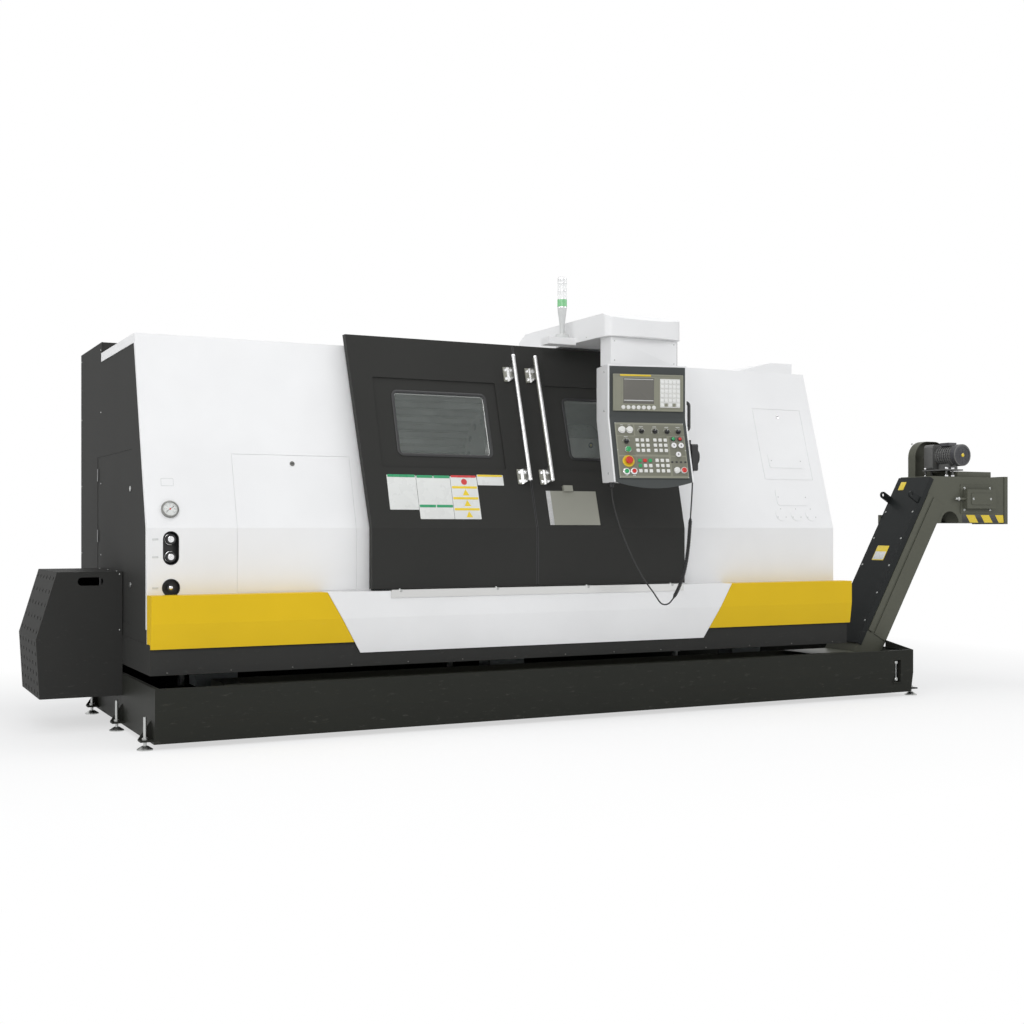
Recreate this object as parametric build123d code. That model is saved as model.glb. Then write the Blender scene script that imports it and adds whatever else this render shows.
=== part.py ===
from build123d import *
from math import atan, atan2, cos, degrees, hypot, radians, sin, sqrt
import os

# A slant-bed turning lathe, in millimetres. It is drawn with X along the machine from its headstock end,
# Y from the front of the coolant tank to the back, and Z up from the floor. At the end everything is moved
# so that the origin lies on the floor under the middle of the machine.

# Sheet and plate thicknesses, and the gaps between pieces
SHEET = 3.0
PLATE = 6.0
SEAM = 2.0
REACH = 5.0            # how far a cutting tool runs past the face it opens
FIT = 0.05             # radial clearance of a shaft or pin in its bore
SLIDE_FIT = 0.1        # gap between sliding faces
LOOSE = 1.0            # gap between a button or knob and the hole it moves in

# Coolant tank that the machine stands in
TANK_ROOM = 485.0      # tank left free beyond the machine, where the conveyor climbs out
TANK_DEPTH = 1620.0
TANK_BOTTOM = 27.0
TANK_CREASE = 150.0
TANK_TOP = 290.0
TANK_LEAN = 20.0
RIM_WIDTH = 25.0
CHEEK_RISE = 42.0
GAUGE_SLOT = (151.0, 100.0)    # sides of the level gauge, counted back from the tank's right end

# Machine body
BODY_LENGTH = 4205.0
BED_ROOM = 80.0        # from the back of the bed to the back of the body
LEFT_DEPTH = 1387.0
REAR_BOX_DEPTH = 2068.0
REAR_BOX_LENGTH = 1140.0
REAR_BOX_TOP = 2093.0
SKIRT_Y = 108.0
SKIRT_BOTTOM = 342.0
SKIRT_TOP = 488.0
SKIRT_FLANGE = 120.0
CREASE = 1050.0        # height where the fronts start to lean back
LEAN = 0.30            # how far a front leans back for each millimetre of height
CABINET_Y = 180.0
CABINET_TOP = 2030.0
LEFT_WIDTH = 1150.0
RIGHT_START = 3055.0
EDGE_FLANGE = 30.0
RAIL_FLANGE = 48.0

# Apron below the doors
APRON_Y = 78.0
APRON_TOP = 725.0
APRON_CREASE = 590.0
APRON_BOTTOM = 468.0
APRON_DROP = 412.0
APRON_LEAN = 17.0
APRON_OVERHANG = 60.0
APRON_MIDDLE = 2122.0
APRON_TOP_HALF = 1242.0
APRON_LOW_HALF = 1059.0
RAIL_HALF = 900.0
RAIL_HEIGHT = 40.0
RAIL_THICK = 6.0

# Sliding doors
DOOR_Y = 110.0
DOOR_SEAM = 2092.0
DOOR_WIDTH = 962.0
DOOR_FLARE = 36.0
DOOR_TOP = 2085.0
DOOR_THICK = 42.0
WINDOW_WIDTH = 727.0
WINDOW_HEIGHT = 509.0
WINDOW_Z = 1614.0
WINDOW_INSET = 8.0
GLASS_WIDTH = 542.0
GLASS_HEIGHT = 354.0
GLASS_SHIFT = 19.0
GLASS_THICK = 6.0
GLASS_LAP = 18.0
WINDOW_FROM_SEAM = (-506.0, 534.0)
HANDLE_FROM_SEAM = (-49.0, 89.0)
HANDLE_RADIUS = 12.0
HANDLE_STANDOFF = 85.0
HANDLE_LOW = 1285.0
HANDLE_HIGH = 1990.0
BRACKET_HEIGHT = 85.0
CATCH_WIDTH = 318.0
CATCH_X = 2333.0
CATCH_HIGH = 1255.0
CATCH_LOW = 1066.0

# Bed, a cored casting with its ways on a face that leans back at 45 degrees
BED_START = 300.0
BED_MARGIN = 205.0     # from the end of the bed to the end of the body
TROUGH_GAP = 30.0      # from the conveyor to the bed
BED_CROWN = 120.0      # flat top behind the ways
BED_BOTTOM = 345.0
BED_STEP = 610.0
BED_TOP = 1450.0
BED_WALL = 35.0
BED_FOOT = 225.0
WAY_WIDTH = 50.0
WAY_HEIGHT = 30.0
TAIL_WAYS = (150.0, 480.0)
SADDLE_WAYS = (720.0, 1060.0)

# Spindle line
SPINDLE_Y = 600.0
SPINDLE_Z = 1100.0
SPINDLE_RADIUS = 90.0
SPINDLE_BORE = 58.0
HEAD_START = 330.0
HEAD_END = 1110.0
NOSE_RADIUS = 150.0
CHUCK_RADIUS = 190.0
CHUCK_START = 1185.0
CHUCK_LENGTH = 130.0
JAW_WIDTH = 44.0
JAW_LENGTH = 105.0
JAW_HEIGHT = 70.0
JAW_INNER = 75.0

# Turret and its slides
SADDLE_X = 2350.0
SADDLE_LENGTH = 440.0
SADDLE_THICK = 60.0
CROSS_THICK = 75.0
CROSS_LENGTH = 300.0
DISC_UP = 950.0
DISC_RADIUS = 240.0
DISC_THICK = 110.0
STATIONS = 12
TOOL_BORE = 20.0
TOOL_BORE_DEPTH = 80.0

# Tailstock
TAIL_MARGIN = 550.0    # from the tailstock's middle to the end of the bed
TAIL_LENGTH = 400.0
QUILL_RADIUS = 60.0

# Boom, column and beacon
BOOM_LEFT = 2405.0
BOOM_WIDTH = 485.0
BOOM_BACK = 945.0
BOOM_FRONT = -100.0
BOOM_BULGE = 45.0
BOOM_BOTTOM = 2096.0
BOOM_TOP = 2222.0
COLUMN_INSET = 36.0
COLUMN_WIDTH = 428.0
COLUMN_FRONT = -85.0
COLUMN_DEPTH = 110.0
COLUMN_BOTTOM = 1944.0
BEACON_X = 2345.0
BEACON_Y = 290.0
BEACON_RADIUS = 27.0
BEACON_TOP = 2470.0

# Operator's pendant, drawn about its swivel axis
SWIVEL_X = 2655.0
SWIVEL_Y = -42.0
SWIVEL_TURN = -13.9
SWIVEL_RADIUS = 45.0
PENDANT_WIDTH = 451.0
PENDANT_THICK = 212.0
PENDANT_FRONT = -128.0
PENDANT_TOP = 1939.0
PENDANT_BEND = 1652.0
PENDANT_BOTTOM = 1297.0
PENDANT_LEAN = 118.0
BEZEL_MARGIN = 9.0
BEZEL_DEPTH = 8.0
BEZEL_SAG = 34.0
PANEL_THICK = 3.0

# Chip conveyor
CONVEYOR_Y = 250.0
CONVEYOR_WIDTH = 280.0
CONVEYOR_START = 400.0
CONVEYOR_BOTTOM = 69.0
CONVEYOR_THICK = 200.0
BEND_MARGIN = 145.0    # from the tank's end to the conveyor's bend
CONVEYOR_ANGLE = 60.0
CONVEYOR_WALL = 4.0
HEAD_BOTTOM = 1082.0
HEAD_TOP = 1390.0
HEAD_REACH = 1210.0    # from the bend to the far end of the head
CHUTE_LENGTH = 255.0
CHUTE_MARGIN = 20.0
ARCH_RUN = 698.0       # from the bend to the middle of the arch
ARCH_RADIUS = 78.0
SHAFT_MARGIN = 268.0   # from the head's far end to its shaft
SHAFT_Z = 1243.0
SHAFT_RADIUS = 20.0
DRIVE_SETBACK = 157.0  # from the shaft back to the motor's axis
DRIVE_Z = 1532.0
MOTOR_RADIUS = 72.0
STATOR_RADIUS = 62.0
FIN_RADIUS = 68.0
EYE_SETBACK = 185.0
EYE_REACH = 78.0
EYE_RADIUS = 22.0
EYE_HOLE = 11.0

# Guard over the spindle motor
GUARD_FRONT = 780.0
GUARD_BACK = 1445.0
GUARD_TOP = 824.0
GUARD_BOTTOM = 178.0
GUARD_KINK = 482.0
GUARD_TOP_OUT = 327.0
GUARD_OUT = 430.0
GUARD_HOLE = 11.0

# Cord from the pendant to the handwheel unit
CORD_RADIUS = 4.0
COIL_RADIUS = 11.0

# Sizes that follow from the ones above
LEAN_ANGLE = atan(LEAN)
SLANT = sqrt(0.5)
TANK_LENGTH = BODY_LENGTH + TANK_ROOM
APRON_LENGTH = BODY_LENGTH + APRON_OVERHANG
BED_END = BODY_LENGTH - BED_MARGIN
BED_FRONT = CONVEYOR_Y + CONVEYOR_WIDTH + TROUGH_GAP
BED_BACK = BED_FRONT + BED_TOP - BED_STEP + BED_CROWN
BODY_DEPTH = BED_BACK + BED_ROOM
TAIL_X = BED_END - TAIL_MARGIN
CONVEYOR_BEND = TANK_LENGTH - BEND_MARGIN
HEAD_RIGHT = CONVEYOR_BEND + HEAD_REACH
DISCHARGE = (HEAD_RIGHT - CHUTE_MARGIN - CHUTE_LENGTH, HEAD_RIGHT - CHUTE_MARGIN)
ARCH_X = CONVEYOR_BEND + ARCH_RUN
SHAFT_X = HEAD_RIGHT - SHAFT_MARGIN
DRIVE_X = SHAFT_X - DRIVE_SETBACK


def block(x, y, z):
    """A box between two values of X, of Y and of Z."""
    return Pos((x[0] + x[1]) / 2, (y[0] + y[1]) / 2, (z[0] + z[1]) / 2) * Box(
        x[1] - x[0], y[1] - y[0], z[1] - z[0])


def along_x(points, x0, x1):
    """An outline of (Y, Z) points, drawn out from x0 to x1."""
    plane = Plane(origin=(x0, 0, 0), x_dir=(0, 1, 0), z_dir=(1, 0, 0))
    return extrude(plane * Polygon(*points, align=None), amount=x1 - x0, dir=plane.z_dir)


def along_y(points, y0, y1):
    """An outline of (X, Z) points, drawn out from y0 to y1."""
    plane = Plane(origin=(0, y1, 0), x_dir=(1, 0, 0), z_dir=(0, -1, 0))
    return extrude(plane * Polygon(*points, align=None), amount=y1 - y0, dir=plane.z_dir)


def rod(start, end, radius):
    """A round bar between two points."""
    axis = Vector(*end) - Vector(*start)
    return extrude(Plane(origin=start, z_dir=axis) * Circle(radius), amount=axis.length)


def turned(start, direction, outline):
    """A turned piece: (radius, distance) points revolved about an axis."""
    plane = Plane(origin=start, z_dir=direction)
    section = Plane(origin=start, x_dir=plane.x_dir, z_dir=-plane.y_dir)
    # The section's own Y axis runs along the direction
    return revolve(section * Polygon(*outline, align=None), axis=Axis(start, direction))


def front_at(z, base):
    """The Y of a front face at height z: upright below the crease, leaning back above it."""
    return base + LEAN * max(0.0, z - CREASE)


def on_front(x, z, base, lift=0.0):
    """A plane lying on a leaning front, with its normal pointing out of the machine."""
    normal = Vector(0, -cos(LEAN_ANGLE), sin(LEAN_ANGLE))
    origin = Vector(x, front_at(z, base), z) + normal * lift
    return Plane(origin=origin, x_dir=(1, 0, 0), z_dir=normal)


def folded_front(base, low, high, thick):
    """Section of a folded front sheet, from low to high."""
    outside = [(front_at(z, base), z) for z in (low, CREASE, high) if z in (low, high) or low < CREASE]
    return outside + [(y + thick, z) for y, z in reversed(outside)]


def front_plate(plane, width, height, thick, radius):
    """A plate with rounded corners, standing out of a plane, or sunk in for a negative thickness."""
    return extrude(plane * RectangleRounded(width, height, radius), amount=thick)


def on_slant(x, up, out):
    """The point at a distance up the slanted bed and out from its face."""
    return (x, BED_FRONT + (up - out) * SLANT, BED_STEP + (up + out) * SLANT)


def slant_block(x, up, out):
    """A box that lies square on the slanted bed."""
    corners = [(up[0], out[0]), (up[1], out[0]), (up[1], out[1]), (up[0], out[1])]
    return along_x([on_slant(0, u, n)[1:] for u, n in corners], x[0], x[1])


def bed_outline(grow):
    """Section of the bed with its ways, grown by a clearance."""
    ridge = BED_FRONT + BED_TOP - BED_STEP
    return [(BED_FRONT - grow, BED_BOTTOM), (BED_FRONT - grow, BED_STEP + grow),
            (ridge, BED_TOP + 2 * grow), (BED_BACK + grow, BED_TOP + 2 * grow), (BED_BACK + grow, BED_BOTTOM)]


def feet_places():
    """Places of the tank's feet at its two ends."""
    reach = 34.0
    rows = (60.0, 754.0, 1480.0)
    return [(x, y) for x in (-reach, TANK_LENGTH + reach) for y in rows]


def pad_places():
    """Places of the machine's own pads, under the bed."""
    return [(x, y) for x in (BED_START + 150, (BED_START + BED_END) / 2, BED_END - 150)
            for y in (BED_FRONT + 110, BED_BACK - 110)]


PAD_HOLE = 78.0
BRACKET_TOP = TANK_BOTTOM + 21


def coolant_tank():
    outer = along_x([(TANK_LEAN, TANK_BOTTOM), (0, TANK_CREASE), (0, TANK_TOP),
                     (TANK_DEPTH, TANK_TOP), (TANK_DEPTH, TANK_BOTTOM)], 0, TANK_LENGTH)
    inner = along_x([(TANK_LEAN + PLATE, TANK_BOTTOM + PLATE), (PLATE, TANK_CREASE), (PLATE, TANK_TOP + REACH),
                     (TANK_DEPTH - PLATE, TANK_TOP + REACH), (TANK_DEPTH - PLATE, TANK_BOTTOM + PLATE)],
                    PLATE, TANK_LENGTH - PLATE)
    tank = outer - inner
    rim = block((0, TANK_LENGTH), (0, TANK_DEPTH), (TANK_TOP - SHEET, TANK_TOP))
    rim -= block((RIM_WIDTH, TANK_LENGTH - RIM_WIDTH), (RIM_WIDTH, TANK_DEPTH - RIM_WIDTH),
                 (TANK_TOP - REACH, TANK_TOP + REACH))
    tank += rim
    end = (TANK_LENGTH - PLATE, TANK_LENGTH)
    near = CONVEYOR_Y - REACH
    far = CONVEYOR_Y + CONVEYOR_WIDTH + REACH
    tank += along_x([(0, TANK_TOP - SHEET), (0, TANK_TOP), (near, TANK_TOP + CHEEK_RISE),
                     (near, TANK_TOP - SHEET)], *end)
    tank += along_x([(far, TANK_TOP - SHEET), (far, TANK_TOP + CHEEK_RISE), (far + near, TANK_TOP),
                     (far + near, TANK_TOP - SHEET)], *end)
    tank -= block((TANK_LENGTH - RIM_WIDTH - 1, TANK_LENGTH - PLATE), (near, far),
                  (TANK_TOP - 2 * SHEET, TANK_TOP + REACH))
    drip = 150.0
    tank += along_y([(TANK_LENGTH - PLATE, TANK_TOP - SHEET), (TANK_LENGTH - PLATE, TANK_TOP - 2 * SHEET),
                     (TANK_LENGTH - drip, TANK_TOP - drip / 2), (TANK_LENGTH - drip, TANK_TOP - drip / 2 + SHEET)],
                    PLATE, near)
    collar = 120.0
    for x, y in pad_places():
        tank += Pos(x, y, TANK_BOTTOM + collar / 2) * Cylinder(PAD_HOLE + PLATE, collar)
    for x, y in pad_places():
        tank -= Pos(x, y, TANK_BOTTOM + collar / 2) * Cylinder(PAD_HOLE, collar + REACH)
    slot = (TANK_LENGTH - GAUGE_SLOT[0], TANK_LENGTH - GAUGE_SLOT[1])
    tank += block((slot[0] - PLATE, slot[1] + PLATE), (SHEET, 45), (88, 236))
    tank -= block(slot, (-REACH, 45 - PLATE), (94, 230))
    tank += rod(((slot[0] + slot[1]) / 2, 25, 93), ((slot[0] + slot[1]) / 2, 25, 231), 9)
    for x, y in feet_places():
        out = 62.0 if x > 0 else -62.0
        wall = TANK_LENGTH if x > 0 else 0.0
        tank += block(sorted((wall, wall + out)), (y - 32, y + 32), (BRACKET_TOP - 8, BRACKET_TOP))
        gusset = [(wall, BRACKET_TOP), (wall, BRACKET_TOP + 88), (wall + out, BRACKET_TOP)]
        tank += along_y(gusset, y + 24, y + 32)
        tank -= Pos(x, y, BRACKET_TOP) * Cylinder(8 + LOOSE, 40)
    return tank


def levelling_feet():
    feet = []
    stem, nut = 8.0, 14.0
    for x, y in feet_places():
        outline = [(0, 0), (38, 0), (38, 5), (14, 20), (stem, 20), (stem, BRACKET_TOP),
                   (nut, BRACKET_TOP), (nut, BRACKET_TOP + 10), (stem, BRACKET_TOP + 10), (stem, 156), (0, 156)]
        feet.append(turned((x, y, 0), (0, 0, 1), outline))
    for x, y in pad_places():
        outline = [(0, 0), (62, 0), (62, 16), (30, 40), (20, 40), (20, BED_FOOT - 22), (36, BED_FOOT - 22),
                   (36, BED_FOOT), (0, BED_FOOT)]
        feet.append(turned((x, y, 0), (0, 0, 1), outline))
    return Compound(feet)


def bed_casting():
    section = bed_outline(0)
    ridge_y, ridge_z = section[2]
    bed = along_x(section, BED_START, BED_END)
    core = [(BED_FRONT + BED_WALL, BED_BOTTOM - REACH), (BED_FRONT + BED_WALL, BED_STEP - BED_WALL / 2),
            (ridge_y + BED_WALL / 2, ridge_z - BED_WALL), (BED_BACK - BED_WALL, ridge_z - BED_WALL),
            (BED_BACK - BED_WALL, BED_BOTTOM - REACH)]
    bays = 4
    pitch = (BED_END - BED_START - BED_WALL) / bays
    for bay in range(bays):
        x0 = BED_START + BED_WALL + bay * pitch
        bed -= along_x(core, x0, x0 + pitch - BED_WALL)
    for up in TAIL_WAYS + SADDLE_WAYS:
        bed += slant_block((HEAD_END + 40, BED_END), (up, up + WAY_WIDTH), (-1, WAY_HEIGHT))
    for x, y in pad_places():
        bed += block((x - 110, x + 110), (y - 75, y + 75), (BED_FOOT, BED_BOTTOM + BED_WALL))
    for y in (BED_FRONT, BED_BACK - BED_WALL):
        bed += block((BED_START, BED_END), (y, y + BED_WALL), (BED_BOTTOM - 30, BED_BOTTOM))
    return bed


def base_frame():
    ring = block((0, APRON_LENGTH - 15), (SKIRT_Y, BODY_DEPTH), (SKIRT_BOTTOM, SKIRT_TOP))
    ring -= block((PLATE, APRON_LENGTH - 15 - PLATE), (SKIRT_Y + PLATE, BODY_DEPTH - PLATE),
                  (SKIRT_BOTTOM - REACH, SKIRT_TOP - PLATE))
    ring -= block((SKIRT_FLANGE, APRON_LENGTH - 15 - SKIRT_FLANGE),
                  (SKIRT_Y + SKIRT_FLANGE, BED_BACK + SEAM), (SKIRT_BOTTOM, SKIRT_TOP + REACH))
    for x in (BED_START + 60, LEFT_WIDTH, RIGHT_START, BED_END - 60):
        for y in ((SKIRT_Y + PLATE - 1, BED_FRONT), (BED_BACK, BODY_DEPTH - PLATE + 1)):
            ring += block((x - 8, x + 8), y, (SKIRT_BOTTOM + 20, SKIRT_TOP - PLATE))
    return ring


def apron_section(bottom):
    lean = APRON_LEAN * (APRON_CREASE - bottom) / (APRON_CREASE - APRON_BOTTOM)
    back = CABINET_Y - SEAM
    return [(back, APRON_TOP), (APRON_Y, APRON_TOP), (APRON_Y, APRON_CREASE), (APRON_Y + lean, bottom),
            (APRON_Y + lean + SHEET, bottom), (APRON_Y + SHEET, APRON_CREASE),
            (APRON_Y + SHEET, APRON_TOP - SHEET), (back, APRON_TOP - SHEET)]


def apron_edge(z):
    """Half length of the white middle of the apron at height z."""
    run = (APRON_TOP_HALF - APRON_LOW_HALF) / (APRON_TOP - APRON_DROP)
    return APRON_LOW_HALF + (z - APRON_DROP) * run


def apron_centre():
    high, low = APRON_TOP + REACH, APRON_DROP - REACH
    outline = [(APRON_MIDDLE - apron_edge(high), high), (APRON_MIDDLE + apron_edge(high), high),
               (APRON_MIDDLE + apron_edge(low), low), (APRON_MIDDLE - apron_edge(low), low)]
    return along_x(apron_section(APRON_DROP), 0, APRON_LENGTH) & along_y(outline, 0, BED_FRONT)


def apron_wing(side):
    high, low = APRON_TOP + REACH, APRON_BOTTOM - REACH
    end = 0.0 if side < 0 else APRON_LENGTH
    outline = [(end, high), (APRON_MIDDLE + side * (apron_edge(high) + SEAM), high),
               (APRON_MIDDLE + side * (apron_edge(low) + SEAM), low), (end, low)]
    wing = along_x(apron_section(APRON_BOTTOM), 0, APRON_LENGTH) & along_y(outline, 0, BED_FRONT)
    cap = [(APRON_Y, APRON_TOP), (APRON_Y, APRON_CREASE), (APRON_Y + APRON_LEAN, APRON_BOTTOM),
           (SKIRT_Y - SEAM, APRON_BOTTOM), (SKIRT_Y - SEAM, SKIRT_TOP + SEAM),
           (CABINET_Y - SEAM, SKIRT_TOP + SEAM), (CABINET_Y - SEAM, APRON_TOP)]
    inward = sorted((end, end - side * SHEET))
    return wing + along_x(cap, *inward)


def door_rail():
    x = (APRON_MIDDLE - RAIL_HALF, APRON_MIDDLE + RAIL_HALF)
    face = block(x, (APRON_Y - RAIL_THICK, APRON_Y), (APRON_TOP + RAIL_THICK - RAIL_HEIGHT, APRON_TOP + RAIL_THICK))
    top = block(x, (APRON_Y - RAIL_THICK, CABINET_Y - 20), (APRON_TOP, APRON_TOP + RAIL_THICK))
    return face + top


def side_outline(base, low, high, depth):
    return [(base, low), (base, CREASE), (front_at(high, base), high), (depth, high), (depth, low)]


def cabinet(x0, x1, depth):
    """Folded front and top sheet of one cabinet."""
    top_y = front_at(CABINET_TOP, CABINET_Y)
    front = along_x(folded_front(CABINET_Y, SKIRT_TOP, CABINET_TOP, SHEET), x0, x1)
    roof = block((x0, x1), (top_y, depth), (CABINET_TOP - SHEET, CABINET_TOP))
    return front + roof


def access_opening(x, z, grow):
    """What is cut out of a cabinet front for an access panel."""
    return block((x[0] - grow, x[1] + grow), (CABINET_Y - 100, CABINET_Y + 400), (z[0] - grow, z[1] + grow))


LEFT_PANEL_X = (442.0, 1070.0)
LEFT_PANEL_Z = (729.0, 1424.0)
RIGHT_PANEL_X = (BODY_LENGTH - 455, BODY_LENGTH - 87)
RIGHT_PANEL_Z = (1347.0, 1792.0)
PANEL_LAP = 18.0
SERVICE_X = 116.0
GAUGE_Z = 1140.0
GAUGE_RADIUS = 43.0
RECESS_Z = 952.0
RECESS_WIDTH = 78.0
RECESS_HEIGHT = 165.0
RECESS_DEPTH = 38.0
KNOB_Z = (909.0, 995.0)
VALVE_Z = 759.0
VALVE_RADIUS = 44.0


def panel_rebate(x, z):
    """Inner frame that an access panel rests on."""
    ring = along_x(folded_front(CABINET_Y + SHEET, z[0] - PANEL_LAP, z[1] + PANEL_LAP, SHEET),
                   x[0] - PANEL_LAP, x[1] + PANEL_LAP)
    return ring - access_opening(x, z, -PANEL_LAP)


def upright(x, z):
    """A plane on the upright part of a cabinet front, with its normal pointing out."""
    return Plane(origin=(x, CABINET_Y, z), x_dir=(1, 0, 0), z_dir=(0, -1, 0))


def service_cup(shape, grow):
    return extrude(shape, amount=-(RECESS_DEPTH + grow))


def left_cabinet():
    body = cabinet(0, LEFT_WIDTH, LEFT_DEPTH)
    outline = side_outline(CABINET_Y, SKIRT_TOP, CABINET_TOP, LEFT_DEPTH)
    flange_low = APRON_BOTTOM + 90
    opening = side_outline(CABINET_Y + EDGE_FLANGE, SKIRT_TOP - REACH, CABINET_TOP - RAIL_FLANGE,
                           LEFT_DEPTH + REACH)
    flange = along_x(outline, 0, SHEET) - along_x(opening, -REACH, SHEET + REACH)
    body += flange - block((-REACH, SHEET * 2), (0, LEFT_DEPTH), (SKIRT_TOP - REACH, flange_low))
    wall = along_x(outline, LEFT_WIDTH - SHEET, LEFT_WIDTH)
    wall -= along_x(bed_outline(WAY_HEIGHT + REACH), LEFT_WIDTH - 2 * SHEET, LEFT_WIDTH + SHEET)
    wall -= rod((LEFT_WIDTH - 2 * SHEET, SPINDLE_Y, SPINDLE_Z), (LEFT_WIDTH + SHEET, SPINDLE_Y, SPINDLE_Z),
                NOSE_RADIUS + 25)
    wall -= block((LEFT_WIDTH - 2 * SHEET, LEFT_WIDTH + SHEET), (SKIRT_Y, BED_FRONT), (SKIRT_TOP - REACH, SKIRT_TOP))
    body += wall
    body -= access_opening(LEFT_PANEL_X, LEFT_PANEL_Z, 0)
    body += panel_rebate(LEFT_PANEL_X, LEFT_PANEL_Z)
    capsule = SlotOverall(RECESS_HEIGHT, RECESS_WIDTH, rotation=90)
    grown = SlotOverall(RECESS_HEIGHT + 2 * SHEET, RECESS_WIDTH + 2 * SHEET, rotation=90)
    recess = upright(SERVICE_X, RECESS_Z)
    valve = upright(SERVICE_X, VALVE_Z)
    body += service_cup(recess * grown, SHEET) + service_cup(valve * Circle(VALVE_RADIUS + SHEET), SHEET)
    body -= extrude(recess * capsule, amount=REACH) + service_cup(recess * capsule, 0)
    body -= extrude(valve * Circle(VALVE_RADIUS), amount=REACH) + service_cup(valve * Circle(VALVE_RADIUS), 0)
    gauge = on_front(SERVICE_X, GAUGE_Z, CABINET_Y)
    body -= extrude(gauge * Circle(GAUGE_RADIUS - 8), amount=20, both=True)
    return body


def access_panel(x, z):
    """A lift-off panel that lies flush in its opening, with its quarter-turn lock."""
    panel = along_x(folded_front(CABINET_Y, z[0] + SEAM, z[1] - SEAM, SHEET), x[0] + SEAM, x[1] - SEAM)
    lock = on_front((x[0] + x[1]) / 2, z[1] - 45, CABINET_Y)
    panel += extrude(lock * Circle(14), amount=3)
    panel -= extrude(lock.offset(1.5) * SlotOverall(16, 4), amount=REACH)
    return panel


def right_access_panel():
    panel = access_panel(RIGHT_PANEL_X, RIGHT_PANEL_Z)
    middle = (RIGHT_PANEL_X[0] + RIGHT_PANEL_X[1]) / 2
    pull = on_front(middle, RIGHT_PANEL_Z[0] + 118, CABINET_Y)
    return panel + front_plate(pull, 262, 92, 3, 14)


def left_end_panel():
    front = CABINET_Y + SHEET + 1
    top = CABINET_TOP - RAIL_FLANGE + 18
    outline = [(front, SKIRT_TOP), (front, CREASE), (front_at(top, front), top), (LEFT_DEPTH, top),
               (LEFT_DEPTH, REAR_BOX_TOP), (REAR_BOX_DEPTH, REAR_BOX_TOP), (REAR_BOX_DEPTH, SKIRT_TOP)]
    panel = along_x(outline, SHEET, SHEET + 5)
    cover = block((SHEET - REACH, SHEET + 2), (558, 1518), (560, 1450))
    return panel - cover


BLANK_PLATE = (BODY_LENGTH - 278, 1239.0)
DISC_Z = 1133.0
DISC_SETBACKS = (381.0, 267.0, 153.0)
ROOF_RISE = 66.0
ROOF_SETBACKS = (505.0, 233.0, 70.0)    # foot of the ramp, top of the ramp and end of the box on the roof
ROOF_DEPTH = (500.0, 900.0)


def right_cabinet():
    body = cabinet(RIGHT_START, BODY_LENGTH, BODY_DEPTH - 2)
    outline = side_outline(CABINET_Y, SKIRT_TOP, CABINET_TOP, BODY_DEPTH - 2)
    body += along_x(outline, BODY_LENGTH - SHEET, BODY_LENGTH)
    body += block((RIGHT_START, BODY_LENGTH), (BODY_DEPTH - 2 - SHEET, BODY_DEPTH - 2), (SKIRT_TOP, CABINET_TOP))
    body += along_x(outline, RIGHT_START, RIGHT_START + SHEET) - along_x(
        side_outline(CABINET_Y + 60, SKIRT_TOP - REACH, CABINET_TOP - 60, BODY_DEPTH + REACH),
        RIGHT_START - REACH, RIGHT_START + REACH + SHEET)
    body -= access_opening(RIGHT_PANEL_X, RIGHT_PANEL_Z, 0)
    body += panel_rebate(RIGHT_PANEL_X, RIGHT_PANEL_Z)
    body += front_plate(on_front(*BLANK_PLATE, CABINET_Y), 238, 108, 2.5, 22)
    for setback in DISC_SETBACKS:
        body += extrude(on_front(BODY_LENGTH - setback, DISC_Z, CABINET_Y) * Circle(42), amount=2.5)
    foot, crest, end = (BODY_LENGTH - setback for setback in ROOF_SETBACKS)
    ramp = [(foot, CABINET_TOP), (crest, CABINET_TOP + ROOF_RISE), (end, CABINET_TOP + ROOF_RISE), (end, CABINET_TOP)]
    return body + along_y(ramp, *ROOF_DEPTH)


def centre_canopy():
    """Ribbed back wall and roof between the two cabinets."""
    x = (LEFT_WIDTH + 1, RIGHT_START - 1)
    front = front_at(CABINET_TOP, DOOR_Y) + DOOR_THICK + 25
    back = BODY_DEPTH - 10
    top = CABINET_TOP + 20
    canopy = block(x, (front, back), (top - SHEET, top))
    canopy += block(x, (back - SHEET, back), (SKIRT_TOP, top))
    canopy += block(x, (front, front + SHEET), (CABINET_TOP - 60, top))
    rib_count = 7
    for rib in range(rib_count):
        z = 1500 + rib * 72
        canopy += along_x([(back - SHEET, z - 14), (back - SHEET - 14, z - 5), (back - SHEET - 14, z + 5),
                           (back - SHEET, z + 14)], *x)
    return canopy


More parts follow.
